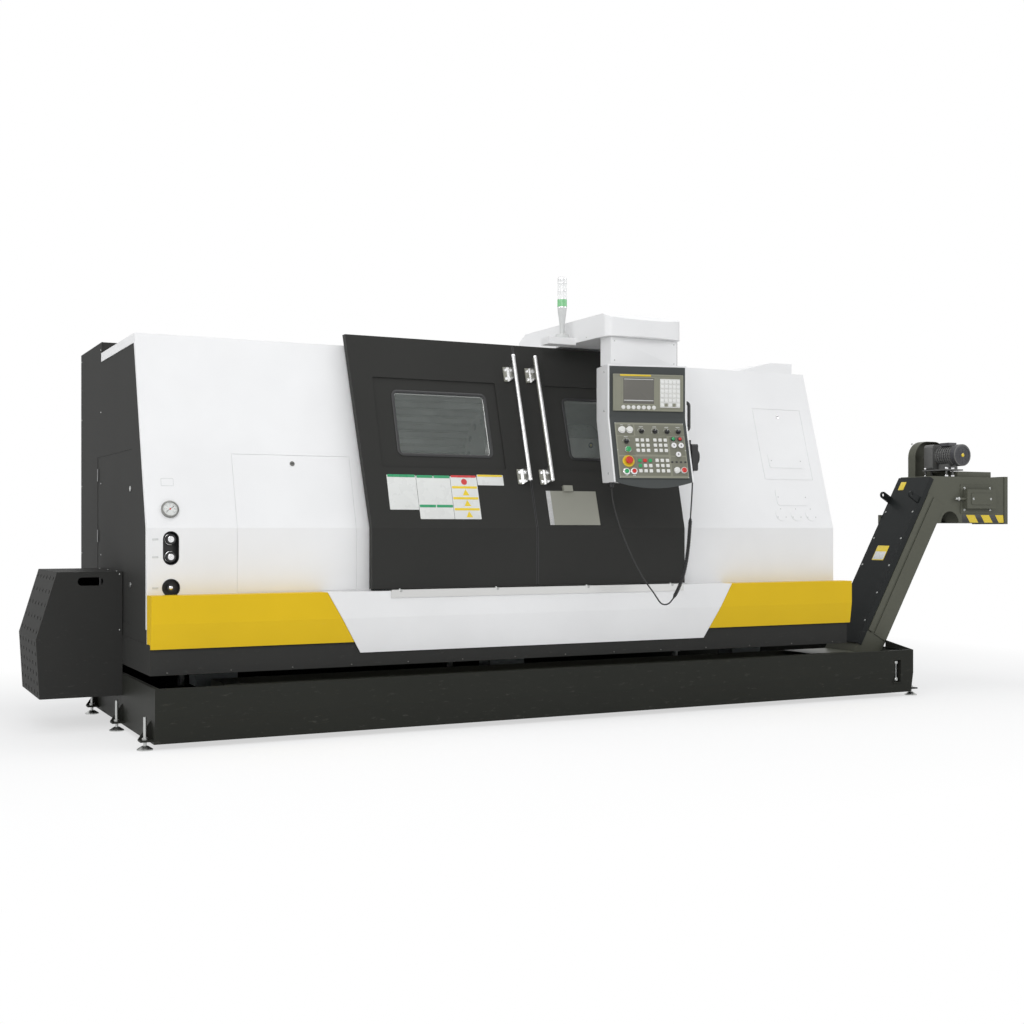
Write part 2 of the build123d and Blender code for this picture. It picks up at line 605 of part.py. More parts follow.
def electrical_cabinet():
    """Closed cabinet at the back, behind the headstock, open below for its cables."""
    x = (SHEET + 5 + 1, REAR_BOX_LENGTH)
    y = (LEFT_DEPTH + 3, REAR_BOX_DEPTH)
    step_y, step_z = BED_BACK + 6, BED_TOP + 20
    box = along_x([(step_y, SKIRT_TOP), (step_y, step_z), (y[0], step_z), (y[0], REAR_BOX_TOP),
                   (y[1], REAR_BOX_TOP), (y[1], SKIRT_TOP)], *x)
    box -= along_x([(step_y + SHEET, SKIRT_TOP - REACH), (step_y + SHEET, step_z + SHEET),
                    (y[0] + SHEET, step_z + SHEET), (y[0] + SHEET, REAR_BOX_TOP - SHEET),
                    (y[1] - SHEET, REAR_BOX_TOP - SHEET), (y[1] - SHEET, SKIRT_TOP - REACH)],
                   x[0] + SHEET, x[1] - SHEET)
    middle = (x[0] + x[1]) / 2
    for side in (-1, 1):
        door = (middle + side * 4, middle + side * ((x[1] - x[0]) / 2 - 30))
        box += block(sorted(door), (y[1], y[1] + 18), (SKIRT_TOP + 60, REAR_BOX_TOP - 40))
        grille = (door[0] + door[1]) / 2
        for slat in range(9):
            z = SKIRT_TOP + 180 + slat * 24
            box -= block((grille - 130, grille + 130), (y[1] + 10, y[1] + 18 + REACH), (z, z + 10))
    return box


def pendant_boom():
    right = BOOM_LEFT + BOOM_WIDTH
    middle = (BOOM_LEFT + right) / 2
    arc = ThreePointArc((BOOM_LEFT, BOOM_FRONT), (middle, BOOM_FRONT - BOOM_BULGE), (right, BOOM_FRONT))
    rest = Polyline((right, BOOM_FRONT), (right, BOOM_BACK), (BOOM_LEFT, BOOM_BACK), (BOOM_LEFT, BOOM_FRONT))
    plan = make_face(arc + rest)
    shell = extrude(Plane.XY.offset(BOOM_BOTTOM) * plan, amount=BOOM_TOP - BOOM_BOTTOM)
    corners = shell.edges().filter_by(Axis.Z).group_by(Axis.Y)[0]
    shell = fillet(corners, 45)
    nose = [(BOOM_FRONT + 45, BOOM_TOP), (BOOM_FRONT - 200, BOOM_TOP - 98), (BOOM_FRONT - 200, BOOM_TOP + REACH),
            (BOOM_FRONT + 45, BOOM_TOP + REACH)]
    tail = [(BOOM_BACK - 85, BOOM_TOP), (BOOM_BACK + REACH, BOOM_TOP - 45), (BOOM_BACK + REACH, BOOM_TOP + REACH),
            (BOOM_BACK - 85, BOOM_TOP + REACH)]
    shell -= along_x(nose, BOOM_LEFT - REACH, right + REACH)
    shell -= along_x(tail, BOOM_LEFT - REACH, right + REACH)
    seat = front_at(CABINET_TOP, DOOR_Y) + DOOR_THICK + 30
    shell += block((BOOM_LEFT, right), (seat, BOOM_BACK), (CABINET_TOP + 20, BOOM_BOTTOM + 1))
    bracket = block((BOOM_LEFT - 170, BOOM_LEFT + 1), (BEACON_Y - 50, BEACON_Y + 50), (BOOM_BOTTOM - 12, BOOM_BOTTOM + 27))
    return shell + bracket


def pendant_column():
    left = BOOM_LEFT + COLUMN_INSET
    column = block((left, left + COLUMN_WIDTH), (COLUMN_FRONT, COLUMN_FRONT + COLUMN_DEPTH),
                   (COLUMN_BOTTOM, BOOM_BOTTOM))
    return column - Pos(SWIVEL_X, SWIVEL_Y, COLUMN_BOTTOM) * Cylinder(SWIVEL_RADIUS + FIT, 100)


def beacon_stem():
    low = BOOM_BOTTOM + 27
    outline = [(0, low), (38, low), (38, low + 22), (14, low + 22), (14, low + 70), (BEACON_RADIUS, low + 172),
               (BEACON_RADIUS, low + 176), (0, low + 176)]
    return turned((BEACON_X, BEACON_Y, 0), (0, 0, 1), outline)


def beacon_lens():
    low = BOOM_BOTTOM + 27 + 176
    outline = [(0, low), (BEACON_RADIUS, low), (BEACON_RADIUS, BEACON_TOP - 8), (BEACON_RADIUS - 8, BEACON_TOP),
               (0, BEACON_TOP)]
    return turned((BEACON_X, BEACON_Y, 0), (0, 0, 1), outline)


def pressure_gauge():
    face = on_front(SERVICE_X, GAUGE_Z, CABINET_Y)
    outline = [(0, 0), (GAUGE_RADIUS, 0), (GAUGE_RADIUS, 10), (GAUGE_RADIUS - 5, 14), (GAUGE_RADIUS - 8, 14),
               (GAUGE_RADIUS - 8, 9), (0, 9)]
    bezel = turned(face.origin, face.z_dir, outline)
    can = extrude(face * Circle(GAUGE_RADIUS - 10), amount=-30)
    needle = extrude(face.offset(9) * Rot(0, 0, 35) * Rectangle(46, 3), amount=2)
    return bezel + can + needle


def service_knobs():
    """Pressure knobs in the long recess and the air valve in the round one."""
    back = CABINET_Y + RECESS_DEPTH
    knob = [(0, 0), (9, 0), (9, 14), (24, 14), (26, 18), (26, 34), (23, 38), (0, 38)]
    pieces = [turned((SERVICE_X, back, z), (0, -1, 0), knob) for z in KNOB_Z]
    valve = turned((SERVICE_X, back, VALVE_Z), (0, -1, 0),
                   [(0, 0), (22, 0), (22, 8), (12, 8), (12, 22), (17, 22), (17, 34), (0, 34)])
    return Compound(pieces + [valve])


def motor_guard():
    inner_x = 0.0
    outline = [(inner_x, GUARD_BOTTOM), (18 - GUARD_OUT, GUARD_BOTTOM), (-GUARD_OUT, GUARD_KINK),
               (-GUARD_TOP_OUT, GUARD_TOP), (inner_x, GUARD_TOP)]
    guard = along_y(outline, GUARD_FRONT, GUARD_BACK)
    hollow = [(inner_x + REACH, GUARD_BOTTOM + SHEET), (18 - GUARD_OUT + SHEET, GUARD_BOTTOM + SHEET),
              (SHEET - GUARD_OUT, GUARD_KINK), (SHEET - GUARD_TOP_OUT, GUARD_TOP - SHEET),
              (inner_x + REACH, GUARD_TOP - SHEET)]
    guard -= along_y(hollow, GUARD_FRONT + SHEET, GUARD_BACK - SHEET)
    columns = 6
    pitch_y = (GUARD_BACK - GUARD_FRONT) / columns
    low = Vector(-GUARD_OUT, 0, GUARD_KINK)
    high = Vector(-GUARD_TOP_OUT, 0, GUARD_TOP)
    bottom = Vector(18 - GUARD_OUT, 0, GUARD_BOTTOM)
    for start, end, rows in ((low, high, 5), (bottom, low, 6)):
        along = (end - start).normalized()
        normal = Vector(-along.Z, 0, along.X)
        for row in range(rows):
            centre = start + (end - start) * ((row + 0.5) / rows)
            for column in range(columns):
                at = centre + Vector(0, GUARD_FRONT + (column + 0.5) * pitch_y, 0)
                guard -= Plane(origin=at, z_dir=normal) * Cylinder(GUARD_HOLE, 24)
    grip = Plane(origin=(-161, GUARD_FRONT, GUARD_TOP - 50), x_dir=(1, 0, 0), z_dir=(0, -1, 0))
    guard -= extrude(grip * SlotOverall(128, 43), amount=10, both=True)
    return guard


def spindle_motor():
    y, z = 1110.0, 505.0
    motor = rod((-330, y, z), (-60, y, z), 150)
    motor += rod((-345, y, z), (-330, y, z), 120)
    for rib in range(6):
        motor += rod((-300 + rib * 38, y, z), (-288 + rib * 38, y, z), 158)
    motor += block((-60, -36), (y - 165, y + 165), (z - 165, z + 165))
    motor += block((-36, 0), (y - 200, y + 200), (SKIRT_BOTTOM + 5, SKIRT_TOP - 5))
    return motor


def headstock():
    outline = [(on_slant(0, 565, 0)[1:]), (on_slant(0, 0, 0)[1:]), (430, 720), (340, 850), (340, 1330),
               (430, 1410), (780, 1410), (960, 1250)]
    body = along_x(outline, HEAD_START, HEAD_END)
    body += rod((HEAD_END, SPINDLE_Y, SPINDLE_Z), (HEAD_END + 36, SPINDLE_Y, SPINDLE_Z), NOSE_RADIUS)
    bore = rod((HEAD_START - REACH, SPINDLE_Y, SPINDLE_Z), (HEAD_END + 60, SPINDLE_Y, SPINDLE_Z),
               SPINDLE_RADIUS + FIT)
    return body - bore


def spindle_chuck():
    """Spindle with its pulley, nose and chuck body, bored through."""
    face = CHUCK_START + CHUCK_LENGTH
    outline = [(SPINDLE_BORE, 240), (SPINDLE_RADIUS, 240), (SPINDLE_RADIUS, 250), (140, 250), (140, 320),
               (SPINDLE_RADIUS, 320), (SPINDLE_RADIUS, CHUCK_START - 30), (NOSE_RADIUS - 15, CHUCK_START - 30),
               (NOSE_RADIUS - 15, CHUCK_START), (CHUCK_RADIUS, CHUCK_START), (CHUCK_RADIUS, face - 12),
               (CHUCK_RADIUS - 12, face), (SPINDLE_BORE, face)]
    body = turned((0, SPINDLE_Y, SPINDLE_Z), (1, 0, 0), outline)
    for turn in range(3):
        slot = block((face - 14, face + REACH), (-(JAW_WIDTH / 2 + 1), JAW_WIDTH / 2 + 1),
                     (SPINDLE_BORE - REACH, CHUCK_RADIUS + REACH))
        body -= Pos(0, SPINDLE_Y, SPINDLE_Z) * Rot(120 * turn, 0, 0) * slot
    return body


def chuck_jaw(turn):
    """One stepped jaw, in its slot in the face of the chuck."""
    face = CHUCK_START + CHUCK_LENGTH
    low = face - 13
    steps = [(low, JAW_INNER), (face + JAW_HEIGHT, JAW_INNER), (face + JAW_HEIGHT, JAW_INNER + 38),
             (face + 46, JAW_INNER + 38), (face + 46, JAW_INNER + 72), (face + 22, JAW_INNER + 72),
             (face + 22, JAW_INNER + JAW_LENGTH), (low, JAW_INNER + JAW_LENGTH)]
    jaw = along_y(steps, -JAW_WIDTH / 2, JAW_WIDTH / 2)
    return Pos(0, SPINDLE_Y, SPINDLE_Z) * Rot(120 * turn, 0, 0) * jaw


DISC_OUT = ((SPINDLE_Z - BED_STEP) - (SPINDLE_Y - BED_FRONT)) * SLANT
SADDLE_OUT = WAY_HEIGHT + SLIDE_FIT
CROSS_OUT = SADDLE_OUT + SADDLE_THICK + SLIDE_FIT


def saddle():
    x = (SADDLE_X - 50, SADDLE_X - 50 + SADDLE_LENGTH)
    up = (SADDLE_WAYS[0] - 60, SADDLE_WAYS[1] + WAY_WIDTH + 30)
    plate = slant_block(x, up, (SADDLE_OUT, SADDLE_OUT + SADDLE_THICK))
    for way in SADDLE_WAYS:
        for side in (way - 25 - SLIDE_FIT, way + WAY_WIDTH + SLIDE_FIT):
            plate += slant_block(x, (side, side + 25), (SLIDE_FIT, SADDLE_OUT + 1))
    return plate


def cross_slide():
    """Cross slide with the turret's housing standing on it."""
    x = (SADDLE_X - 40, SADDLE_X - 40 + CROSS_LENGTH)
    slide = slant_block(x, (SADDLE_WAYS[0] - 70, SADDLE_WAYS[1] + 70), (CROSS_OUT, CROSS_OUT + CROSS_THICK))
    housing = slant_block((x[0], x[1] - 30), (DISC_UP - 130, DISC_UP + 130), (CROSS_OUT + CROSS_THICK - 1, DISC_OUT + 110))
    housing = chamfer(housing.edges().filter_by(Axis.X).sort_by(Axis.Z)[-2:], 40)
    centre = on_slant(0, DISC_UP, DISC_OUT)
    motor = rod((x[1] - 30, centre[1], centre[2]), (x[1] + 150, centre[1], centre[2]), 75)
    shaft_bore = rod((x[0] - REACH, centre[1], centre[2]), (x[0] + 120, centre[1], centre[2]), 60 + FIT)
    return slide + housing + motor - shaft_bore


def turret_disc():
    x = SADDLE_X - 40 - 20
    centre = on_slant(x, DISC_UP, DISC_OUT)
    face = Plane(origin=centre, x_dir=(0, SLANT, SLANT), z_dir=(-1, 0, 0))
    disc = extrude(face * RegularPolygon(DISC_RADIUS, STATIONS), amount=DISC_THICK)
    disc += rod(centre, (x + 130, centre[1], centre[2]), 60)
    outer = face.offset(DISC_THICK)
    disc += extrude(outer * Circle(95), amount=18)
    pitch = 360.0 / STATIONS
    for station in range(STATIONS):
        seat = outer * Rot(0, 0, (station + 0.5) * pitch) * Pos(DISC_RADIUS * 0.78, 0, 0)
        disc -= seat * Pos(0, 0, -TOOL_BORE_DEPTH / 2) * Cylinder(TOOL_BORE, TOOL_BORE_DEPTH)
    return disc


def tailstock():
    """Tailstock with its quill and live centre."""
    x = (TAIL_X, TAIL_X + TAIL_LENGTH)
    centre_up = ((SPINDLE_Z - BED_STEP) + (SPINDLE_Y - BED_FRONT)) * SLANT
    base = slant_block(x, (TAIL_WAYS[0] - 25, TAIL_WAYS[1] + WAY_WIDTH + 25), (SADDLE_OUT, SADDLE_OUT + 60))
    for way in TAIL_WAYS:
        for side in (way - 20 - SLIDE_FIT, way + WAY_WIDTH + SLIDE_FIT):
            base += slant_block(x, (side, side + 20), (SLIDE_FIT, SADDLE_OUT + 1))
    body = slant_block((x[0] + 20, x[1] - 20), (centre_up - 105, centre_up + 105), (SADDLE_OUT + 59, DISC_OUT))
    barrel = rod((x[0] - 30, SPINDLE_Y, SPINDLE_Z), (x[1] + 30, SPINDLE_Y, SPINDLE_Z), 105)
    quill = turned((TAIL_X, SPINDLE_Y, SPINDLE_Z), (-1, 0, 0),
                   [(0, 0), (QUILL_RADIUS, 0), (QUILL_RADIUS, 120), (42, 124), (42, 160), (0, 215)])
    return base + body + barrel + quill


def pendant_at(shape):
    """Place what is drawn about the swivel axis."""
    return Pos(SWIVEL_X, SWIVEL_Y, 0) * Rot(0, 0, SWIVEL_TURN) * shape


def lower_plane(a, b, lift=0.0):
    """A plane on the leaning lower front of the pendant: a across, b down from the bend."""
    tilt = atan2(PENDANT_LEAN, PENDANT_BEND - PENDANT_BOTTOM)
    normal = Vector(0, -cos(tilt), sin(tilt))
    down = Vector(0, -sin(tilt), -cos(tilt))
    origin = Vector(a, PENDANT_FRONT, PENDANT_BEND) + down * b + normal * lift
    return Plane(origin=origin, x_dir=(1, 0, 0), z_dir=normal)


def upper_plane(a, z, lift=0.0):
    """A plane on the upright upper front of the pendant."""
    return Plane(origin=(a, PENDANT_FRONT - lift, z), x_dir=(1, 0, 0), z_dir=(0, -1, 0))


def pendant_section(front, back, low):
    lean = PENDANT_LEAN / (PENDANT_BEND - PENDANT_BOTTOM)
    drop = lean * (PENDANT_BEND - low)
    return [(front, PENDANT_TOP), (front, PENDANT_BEND), (front - drop, low), (back - drop, low),
            (back, PENDANT_BEND), (back, PENDANT_TOP)]


HALF = PENDANT_WIDTH / 2
E_STOP = (-136.0, 258.0)
START_BUTTON = (-152.0, 317.0)
STOP_BUTTON = (-110.0, 315.0)
SELECTORS = {"override_selector": (-137.0, 144.0), "mode_selector": (-46.0, 84.0), "feed_selector": (31.0, 84.0),
             "rapid_selector": (100.0, 85.0), "spindle_selector": (165.0, 85.0)}
SHANK = 6.0
E_STOP_SHANK = 11.0
WELL = 38.0
BUTTON_TRAVEL = 4.0


def pendant_housing():
    back = PENDANT_FRONT + PENDANT_THICK
    body = along_x(pendant_section(PENDANT_FRONT, back, PENDANT_BOTTOM), -HALF, HALF)
    pocket = along_x(pendant_section(PENDANT_FRONT - REACH, PENDANT_FRONT + BEZEL_DEPTH, PENDANT_BOTTOM - REACH),
                     BEZEL_MARGIN - HALF, HALF - BEZEL_MARGIN)
    pocket &= block((-HALF, HALF), (-400, 400), (PENDANT_BOTTOM - 50, PENDANT_TOP - BEZEL_MARGIN))
    body -= pocket
    body += Pos(0, 0, PENDANT_TOP + 22) * Cylinder(SWIVEL_RADIUS, 46)
    for place in [*SELECTORS.values(), START_BUTTON, STOP_BUTTON]:
        body -= extrude(lower_plane(*place) * Circle(SHANK + 1 + LOOSE), amount=-WELL)
    body -= extrude(lower_plane(*E_STOP) * Circle(E_STOP_SHANK + LOOSE), amount=-WELL)
    return pendant_at(body)


def bezel_plate():
    """Dark front plate, with its lower edge drawn down in an arc."""
    front = PENDANT_FRONT - SEAM
    section = pendant_section(front, PENDANT_FRONT + BEZEL_DEPTH, PENDANT_BOTTOM - BEZEL_SAG - REACH)
    half = HALF - BEZEL_MARGIN
    plate = along_x(section, -half, half)
    low = PENDANT_BOTTOM - BEZEL_SAG
    arc = ThreePointArc((-half, PENDANT_BOTTOM), (0, low), (half, PENDANT_BOTTOM))
    high = PENDANT_TOP - BEZEL_MARGIN
    rest = Polyline((half, PENDANT_BOTTOM), (half, high), (-half, high), (-half, PENDANT_BOTTOM))
    outline = Plane(origin=(0, 300, 0), x_dir=(1, 0, 0), z_dir=(0, -1, 0)) * make_face(arc + rest)
    return plate & extrude(outline, amount=700)


def pendant_bezel():
    """Front plate with the lower key panel and the grab handle on its right side."""
    body = bezel_plate()
    body += front_plate(lower_plane(3, 193), 400, 328, SEAM + PANEL_THICK, 6)
    for place in SELECTORS.values():
        body -= lower_plane(*place) * Cylinder(SHANK + LOOSE, 60)
    for place in (START_BUTTON, STOP_BUTTON):
        body -= lower_plane(*place) * Cylinder(SHANK + LOOSE, 60)
        ring = extrude(lower_plane(*place, lift=SEAM + PANEL_THICK) * Circle(16), amount=7)
        body += ring - lower_plane(*place, lift=SEAM + PANEL_THICK) * Cylinder(12 + LOOSE, 30)
    collar = lower_plane(*E_STOP, lift=SEAM + PANEL_THICK)
    body += extrude(collar * Circle(30), amount=6)
    body -= lower_plane(*E_STOP) * Cylinder(E_STOP_SHANK + LOOSE, 60)
    return pendant_at(body)


def grab_handle():
    radius, out, low, high, y = 9.0, 36.0, 1590.0, 1745.0, -69.0
    path = FilletPolyline((HALF, y, low), (HALF + out, y, low), (HALF + out, y, high), (HALF, y, high), radius=20)
    section = Plane(origin=(HALF, y, low), z_dir=(1, 0, 0)) * Circle(radius)
    bar = sweep(section, path=path)
    return pendant_at(bar)


def display_unit():
    """Display with its screen set in, a row of round soft keys and a block of square keys."""
    middle_z = 1787.0
    front = PENDANT_FRONT - SEAM
    body = block((-198, 202), (front - 10, front), (middle_z - 100, middle_z + 100))
    body -= block((-141, 34), (front - 12, front - 6), (1727, 1865))
    for key in range(7):
        at = Plane(origin=(-141 + key * 29, front - 10, 1706), z_dir=(0, -1, 0))
        body += extrude(at * Circle(9), amount=3)
    for row in range(6):
        for column in range(5):
            x = 80 + column * 23
            z = 1722 + row * 25
            body += block((x - 9, x + 9), (front - 13, front - 10), (z - 9, z + 9))
    return pendant_at(body)


KEY_GRIDS = ((-75.0, 135.0), (26.0, 134.0), (-72.0, 253.0), (26.0, 252.0))


def operator_keys():
    """Square keys of the lower panel, with its blank caps, lamps and key switches."""
    pieces = []
    size, pitch, rise = 17.0, 29.5, 30.0
    for a0, b0 in KEY_GRIDS:
        for row in range(3):
            for column in range(3):
                at = lower_plane(a0 + column * pitch, b0 + row * rise, SEAM + PANEL_THICK)
                pieces.append(extrude(at * Rectangle(size, size), amount=4))
    for a, b, radius, height in ((-155, 76, 17, 12), (-112, 76, 17, 12), (-132, 191, 14, 12), (130, 127, 9, 9),
                                 (169, 127, 9, 9), (129, 167, 14, 12), (170, 167, 14, 12), (149, 219, 14, 12),
                                 (132, 310, 17, 14), (172, 310, 17, 14)):
        at = lower_plane(a, b, SEAM + PANEL_THICK)
        pieces.append(extrude(at * Circle(radius), amount=height))
    return pendant_at(Compound(pieces))


def selector(place):
    """Selector knob: a shank, a round skirt and a raised grip."""
    top = SEAM + PANEL_THICK + LOOSE
    at = lower_plane(*place, lift=top)
    knob = extrude(at * Circle(13), amount=6) + extrude(at.offset(6) * SlotOverall(25, 8), amount=9)
    knob += extrude(at * Circle(SHANK), amount=-(top + 20))
    return pendant_at(knob)


def push_button(place):
    at = lower_plane(*place, lift=SEAM + PANEL_THICK + BUTTON_TRAVEL + LOOSE)
    button = extrude(at * Circle(12), amount=6) + extrude(at * Circle(SHANK), amount=-30)
    return pendant_at(button)


def estop_button():
    at = lower_plane(*E_STOP, lift=SEAM + PANEL_THICK + 6 + BUTTON_TRAVEL + LOOSE)
    outline = [(0, -30), (E_STOP_SHANK, -30), (E_STOP_SHANK, 0), (16, 0), (20, 6), (20, 14), (15, 19), (0, 19)]
    return pendant_at(turned(at.origin, at.z_dir, outline))


WHEEL_Y = -160.0
WHEEL_Z = 1438.0
WHEEL_UNIT = 34.0


def handwheel_unit():
    """Hand-held pulse unit, hung by its plate on the pendant's right side."""
    x = (HALF + 6, HALF + 6 + WHEEL_UNIT)
    body = block(x, (WHEEL_Y - 42, WHEEL_Y + 42), (1362, 1508))
    body = fillet(body.edges().filter_by(Axis.X), 14)
    body += block((HALF, HALF + 7), (WHEEL_Y - 20, WHEEL_Y + 20), (1440, 1530))
    body -= rod((x[1] - 12, WHEEL_Y, WHEEL_Z), (x[1] + REACH, WHEEL_Y, WHEEL_Z), 6 + FIT)
    return pendant_at(body)


def handwheel():
    x = HALF + 6 + WHEEL_UNIT
    wheel = turned((x, WHEEL_Y, WHEEL_Z), (1, 0, 0),
                   [(0, -12), (6, -12), (6, 1), (34, 1), (36, 4), (36, 12), (30, 14), (10, 9), (0, 9)])
    wheel += rod((x + 9, WHEEL_Y + 22, WHEEL_Z), (x + 24, WHEEL_Y + 22, WHEEL_Z), 6)
    return pendant_at(wheel)


GLAND = (-205.0, -134.0)
UNIT_EXIT = (HALF + 6 + WHEEL_UNIT / 2, WHEEL_Y, 1362.0)


def cord_gland():
    low = PENDANT_BOTTOM
    return pendant_at(turned((GLAND[0], GLAND[1], low), (0, 0, -1),
                             [(0, 0), (16, 0), (16, 10), (12, 14), (12, 26), (CORD_RADIUS, 30), (0, 30)]))


# Corners of the cord's route, drawn about the swivel axis: from the gland, down, round and up to the
# handwheel unit. The curled length lies between the middles of two of its runs.
CORD_ROUTE = [(*GLAND, PENDANT_BOTTOM - 30), (*GLAND, 1222), (-185, -136, 1130), (-146, -141, 1010),
              (-88, -148, 876), (-24, -154, 760), (34, -158, 690), (63, -160, 635), (86, -161, 623.5),
              (112, -162, 630), (141, -163, 671), (176, -164, 738), (204, -165, 826), (222, -165, 935),
              (231, -164, 1045), (238, -163, 1140), (245, -161, 1225), (*UNIT_EXIT[:2], 1310), UNIT_EXIT]
CURL_RUNS = (9, 14)


def middle_of_run(index):
    start, end = Vector(*CORD_ROUTE[index]), Vector(*CORD_ROUTE[index + 1])
    return tuple((start + end) / 2)


CURL_START, CURL_END = (middle_of_run(index) for index in CURL_RUNS)
UPPER_POINTS = [*CORD_ROUTE[:CURL_RUNS[0] + 1], CURL_START]
CURL_POINTS = [CURL_START, *CORD_ROUTE[CURL_RUNS[0] + 1:CURL_RUNS[1] + 1], CURL_END]
LOWER_POINTS = [CURL_END, *CORD_ROUTE[CURL_RUNS[1] + 1:]]


def cord_radii(points):
    """As large an arc at each corner as its two runs allow."""
    radii = []
    for before, corner, after in zip(points, points[1:], points[2:]):
        first = Vector(*corner) - Vector(*before)
        second = Vector(*after) - Vector(*corner)
        turn = radians(first.get_angle(second))
        radii.append(0.45 * min(first.length, second.length) / (sin(turn / 2) / cos(turn / 2)))
    return radii


def cord_tube(name, points, radius):
    radii = cord_radii(points)
    path = FilletPolyline(*points, radius=radii)
    heading = Vector(*points[1]) - Vector(*points[0])
    tube = sweep(Plane(origin=points[0], z_dir=heading) * Circle(radius), path=path)
    expected = 3.14159265 * radius ** 2 * path.length
    print(name, "length", round(path.length, 1), "volume ratio", round(tube.volume / expected, 5),
          "radii", [round(r) for r in radii])
    return pendant_at(tube)


def conveyor_outline(inset):
    """Side of the conveyor: flat along the tank, up the incline and out over the discharge."""
    rise = radians(CONVEYOR_ANGLE)
    thick = CONVEYOR_THICK
    top_bend = CONVEYOR_BEND - thick * (1 / sin(rise) - 1 / (sin(rise) / cos(rise)))
    slope = cos(rise) / sin(rise)
    knee = CONVEYOR_BEND + (HEAD_BOTTOM - CONVEYOR_BOTTOM) * slope
    crown = top_bend + (HEAD_TOP - CONVEYOR_BOTTOM - thick) * slope
    points = [(CONVEYOR_START, CONVEYOR_BOTTOM), (CONVEYOR_BEND, CONVEYOR_BOTTOM), (knee, HEAD_BOTTOM),
              (HEAD_RIGHT, HEAD_BOTTOM), (HEAD_RIGHT, HEAD_TOP), (crown, HEAD_TOP),
              (top_bend, CONVEYOR_BOTTOM + thick), (CONVEYOR_START, CONVEYOR_BOTTOM + thick)]
    face = Polygon(*points, align=None)
    if inset:
        face = offset(face, amount=-inset, kind=Kind.INTERSECTION)
    return face, top_bend, crown, knee


def conveyor_face(face, y0, y1):
    plane = Plane(origin=(0, y1, 0), x_dir=(1, 0, 0), z_dir=(0, -1, 0))
    return extrude(plane * face, amount=y1 - y0, dir=plane.z_dir)


def incline_plane(run, out, y):
    """A plane on the conveyor's side, with X up the incline, at a distance out from its underside."""
    rise = radians(CONVEYOR_ANGLE)
    x = CONVEYOR_BEND + run * cos(rise) - out * sin(rise)
    z = CONVEYOR_BOTTOM + run * sin(rise) + out * cos(rise)
    return Plane(origin=(x, y, z), x_dir=(cos(rise), 0, sin(rise)), z_dir=(0, -1, 0))


def conveyor_body():
    y0, y1 = CONVEYOR_Y, CONVEYOR_Y + CONVEYOR_WIDTH
    face, top_bend, crown, knee = conveyor_outline(0)
    inner = conveyor_outline(CONVEYOR_WALL)[0]
    body = conveyor_face(face, y0, y1) - conveyor_face(inner, y0 + CONVEYOR_WALL, y1 - CONVEYOR_WALL)
    inside = (y0 + CONVEYOR_WALL, y1 - CONVEYOR_WALL)
    body -= block((CONVEYOR_START + 100, CONVEYOR_BEND - 450), inside,
                  (CONVEYOR_BOTTOM + CONVEYOR_THICK / 2, CONVEYOR_BOTTOM + CONVEYOR_THICK + REACH))
    body -= block(DISCHARGE, inside, (HEAD_BOTTOM - REACH, HEAD_BOTTOM + 20))
    body -= Pos(ARCH_X, (y0 + y1) / 2, HEAD_BOTTOM) * Rot(90, 0, 0) * Cylinder(ARCH_RADIUS, CONVEYOR_WIDTH + 20)
    body -= rod((SHAFT_X, y0 - 20, SHAFT_Z), (SHAFT_X, y1 + 20, SHAFT_Z), SHAFT_RADIUS + FIT)
    strip_length = 1010.0
    for y, side in ((y0, 1), (y1, -1)):
        for low, high, lift in ((8.0, 112.0, 5.0), (130.0, 168.0, 9.0)):
            at = incline_plane(290 + strip_length / 2, (low + high) / 2, y)
            body += extrude(at * Rectangle(strip_length, high - low), amount=side * lift)
    flange = block((HEAD_RIGHT - 26, HEAD_RIGHT + 4), (y0 - 6, y1 + 6), (HEAD_BOTTOM - 6, HEAD_TOP + 6))
    body += flange - block((HEAD_RIGHT - 30, HEAD_RIGHT - CONVEYOR_WALL), inside, (HEAD_BOTTOM - 10, HEAD_TOP - CONVEYOR_WALL))
    body += block((DRIVE_X, DRIVE_X + 300), (y0 + 20, y1 - 20), (HEAD_TOP - 1, HEAD_TOP + 36))
    plate = Plane(origin=(SHAFT_X, y0, SHAFT_Z), x_dir=(1, 0, 0), z_dir=(0, -1, 0))
    body += extrude(plate * Pos(-12, 0) * Rectangle(284, 190), amount=4)
    box = extrude(plate * Rectangle(258, 126), amount=40)
    box += extrude(plate.offset(40) * RectangleRounded(190, 76, 14), amount=4)
    body += box
    body -= rod((SHAFT_X, y0 - 30, SHAFT_Z), (SHAFT_X, y0 + 10, SHAFT_Z), SHAFT_RADIUS + FIT)
    body += rod((SHAFT_X - 190, y0 - 22, SHAFT_Z), (SHAFT_X - 128, y0 - 22, SHAFT_Z), 8)
    body += block((CONVEYOR_BEND + 361, CONVEYOR_BEND + 471), (y1 + 8.5, y1 + 30), (870, 1137))
    return body


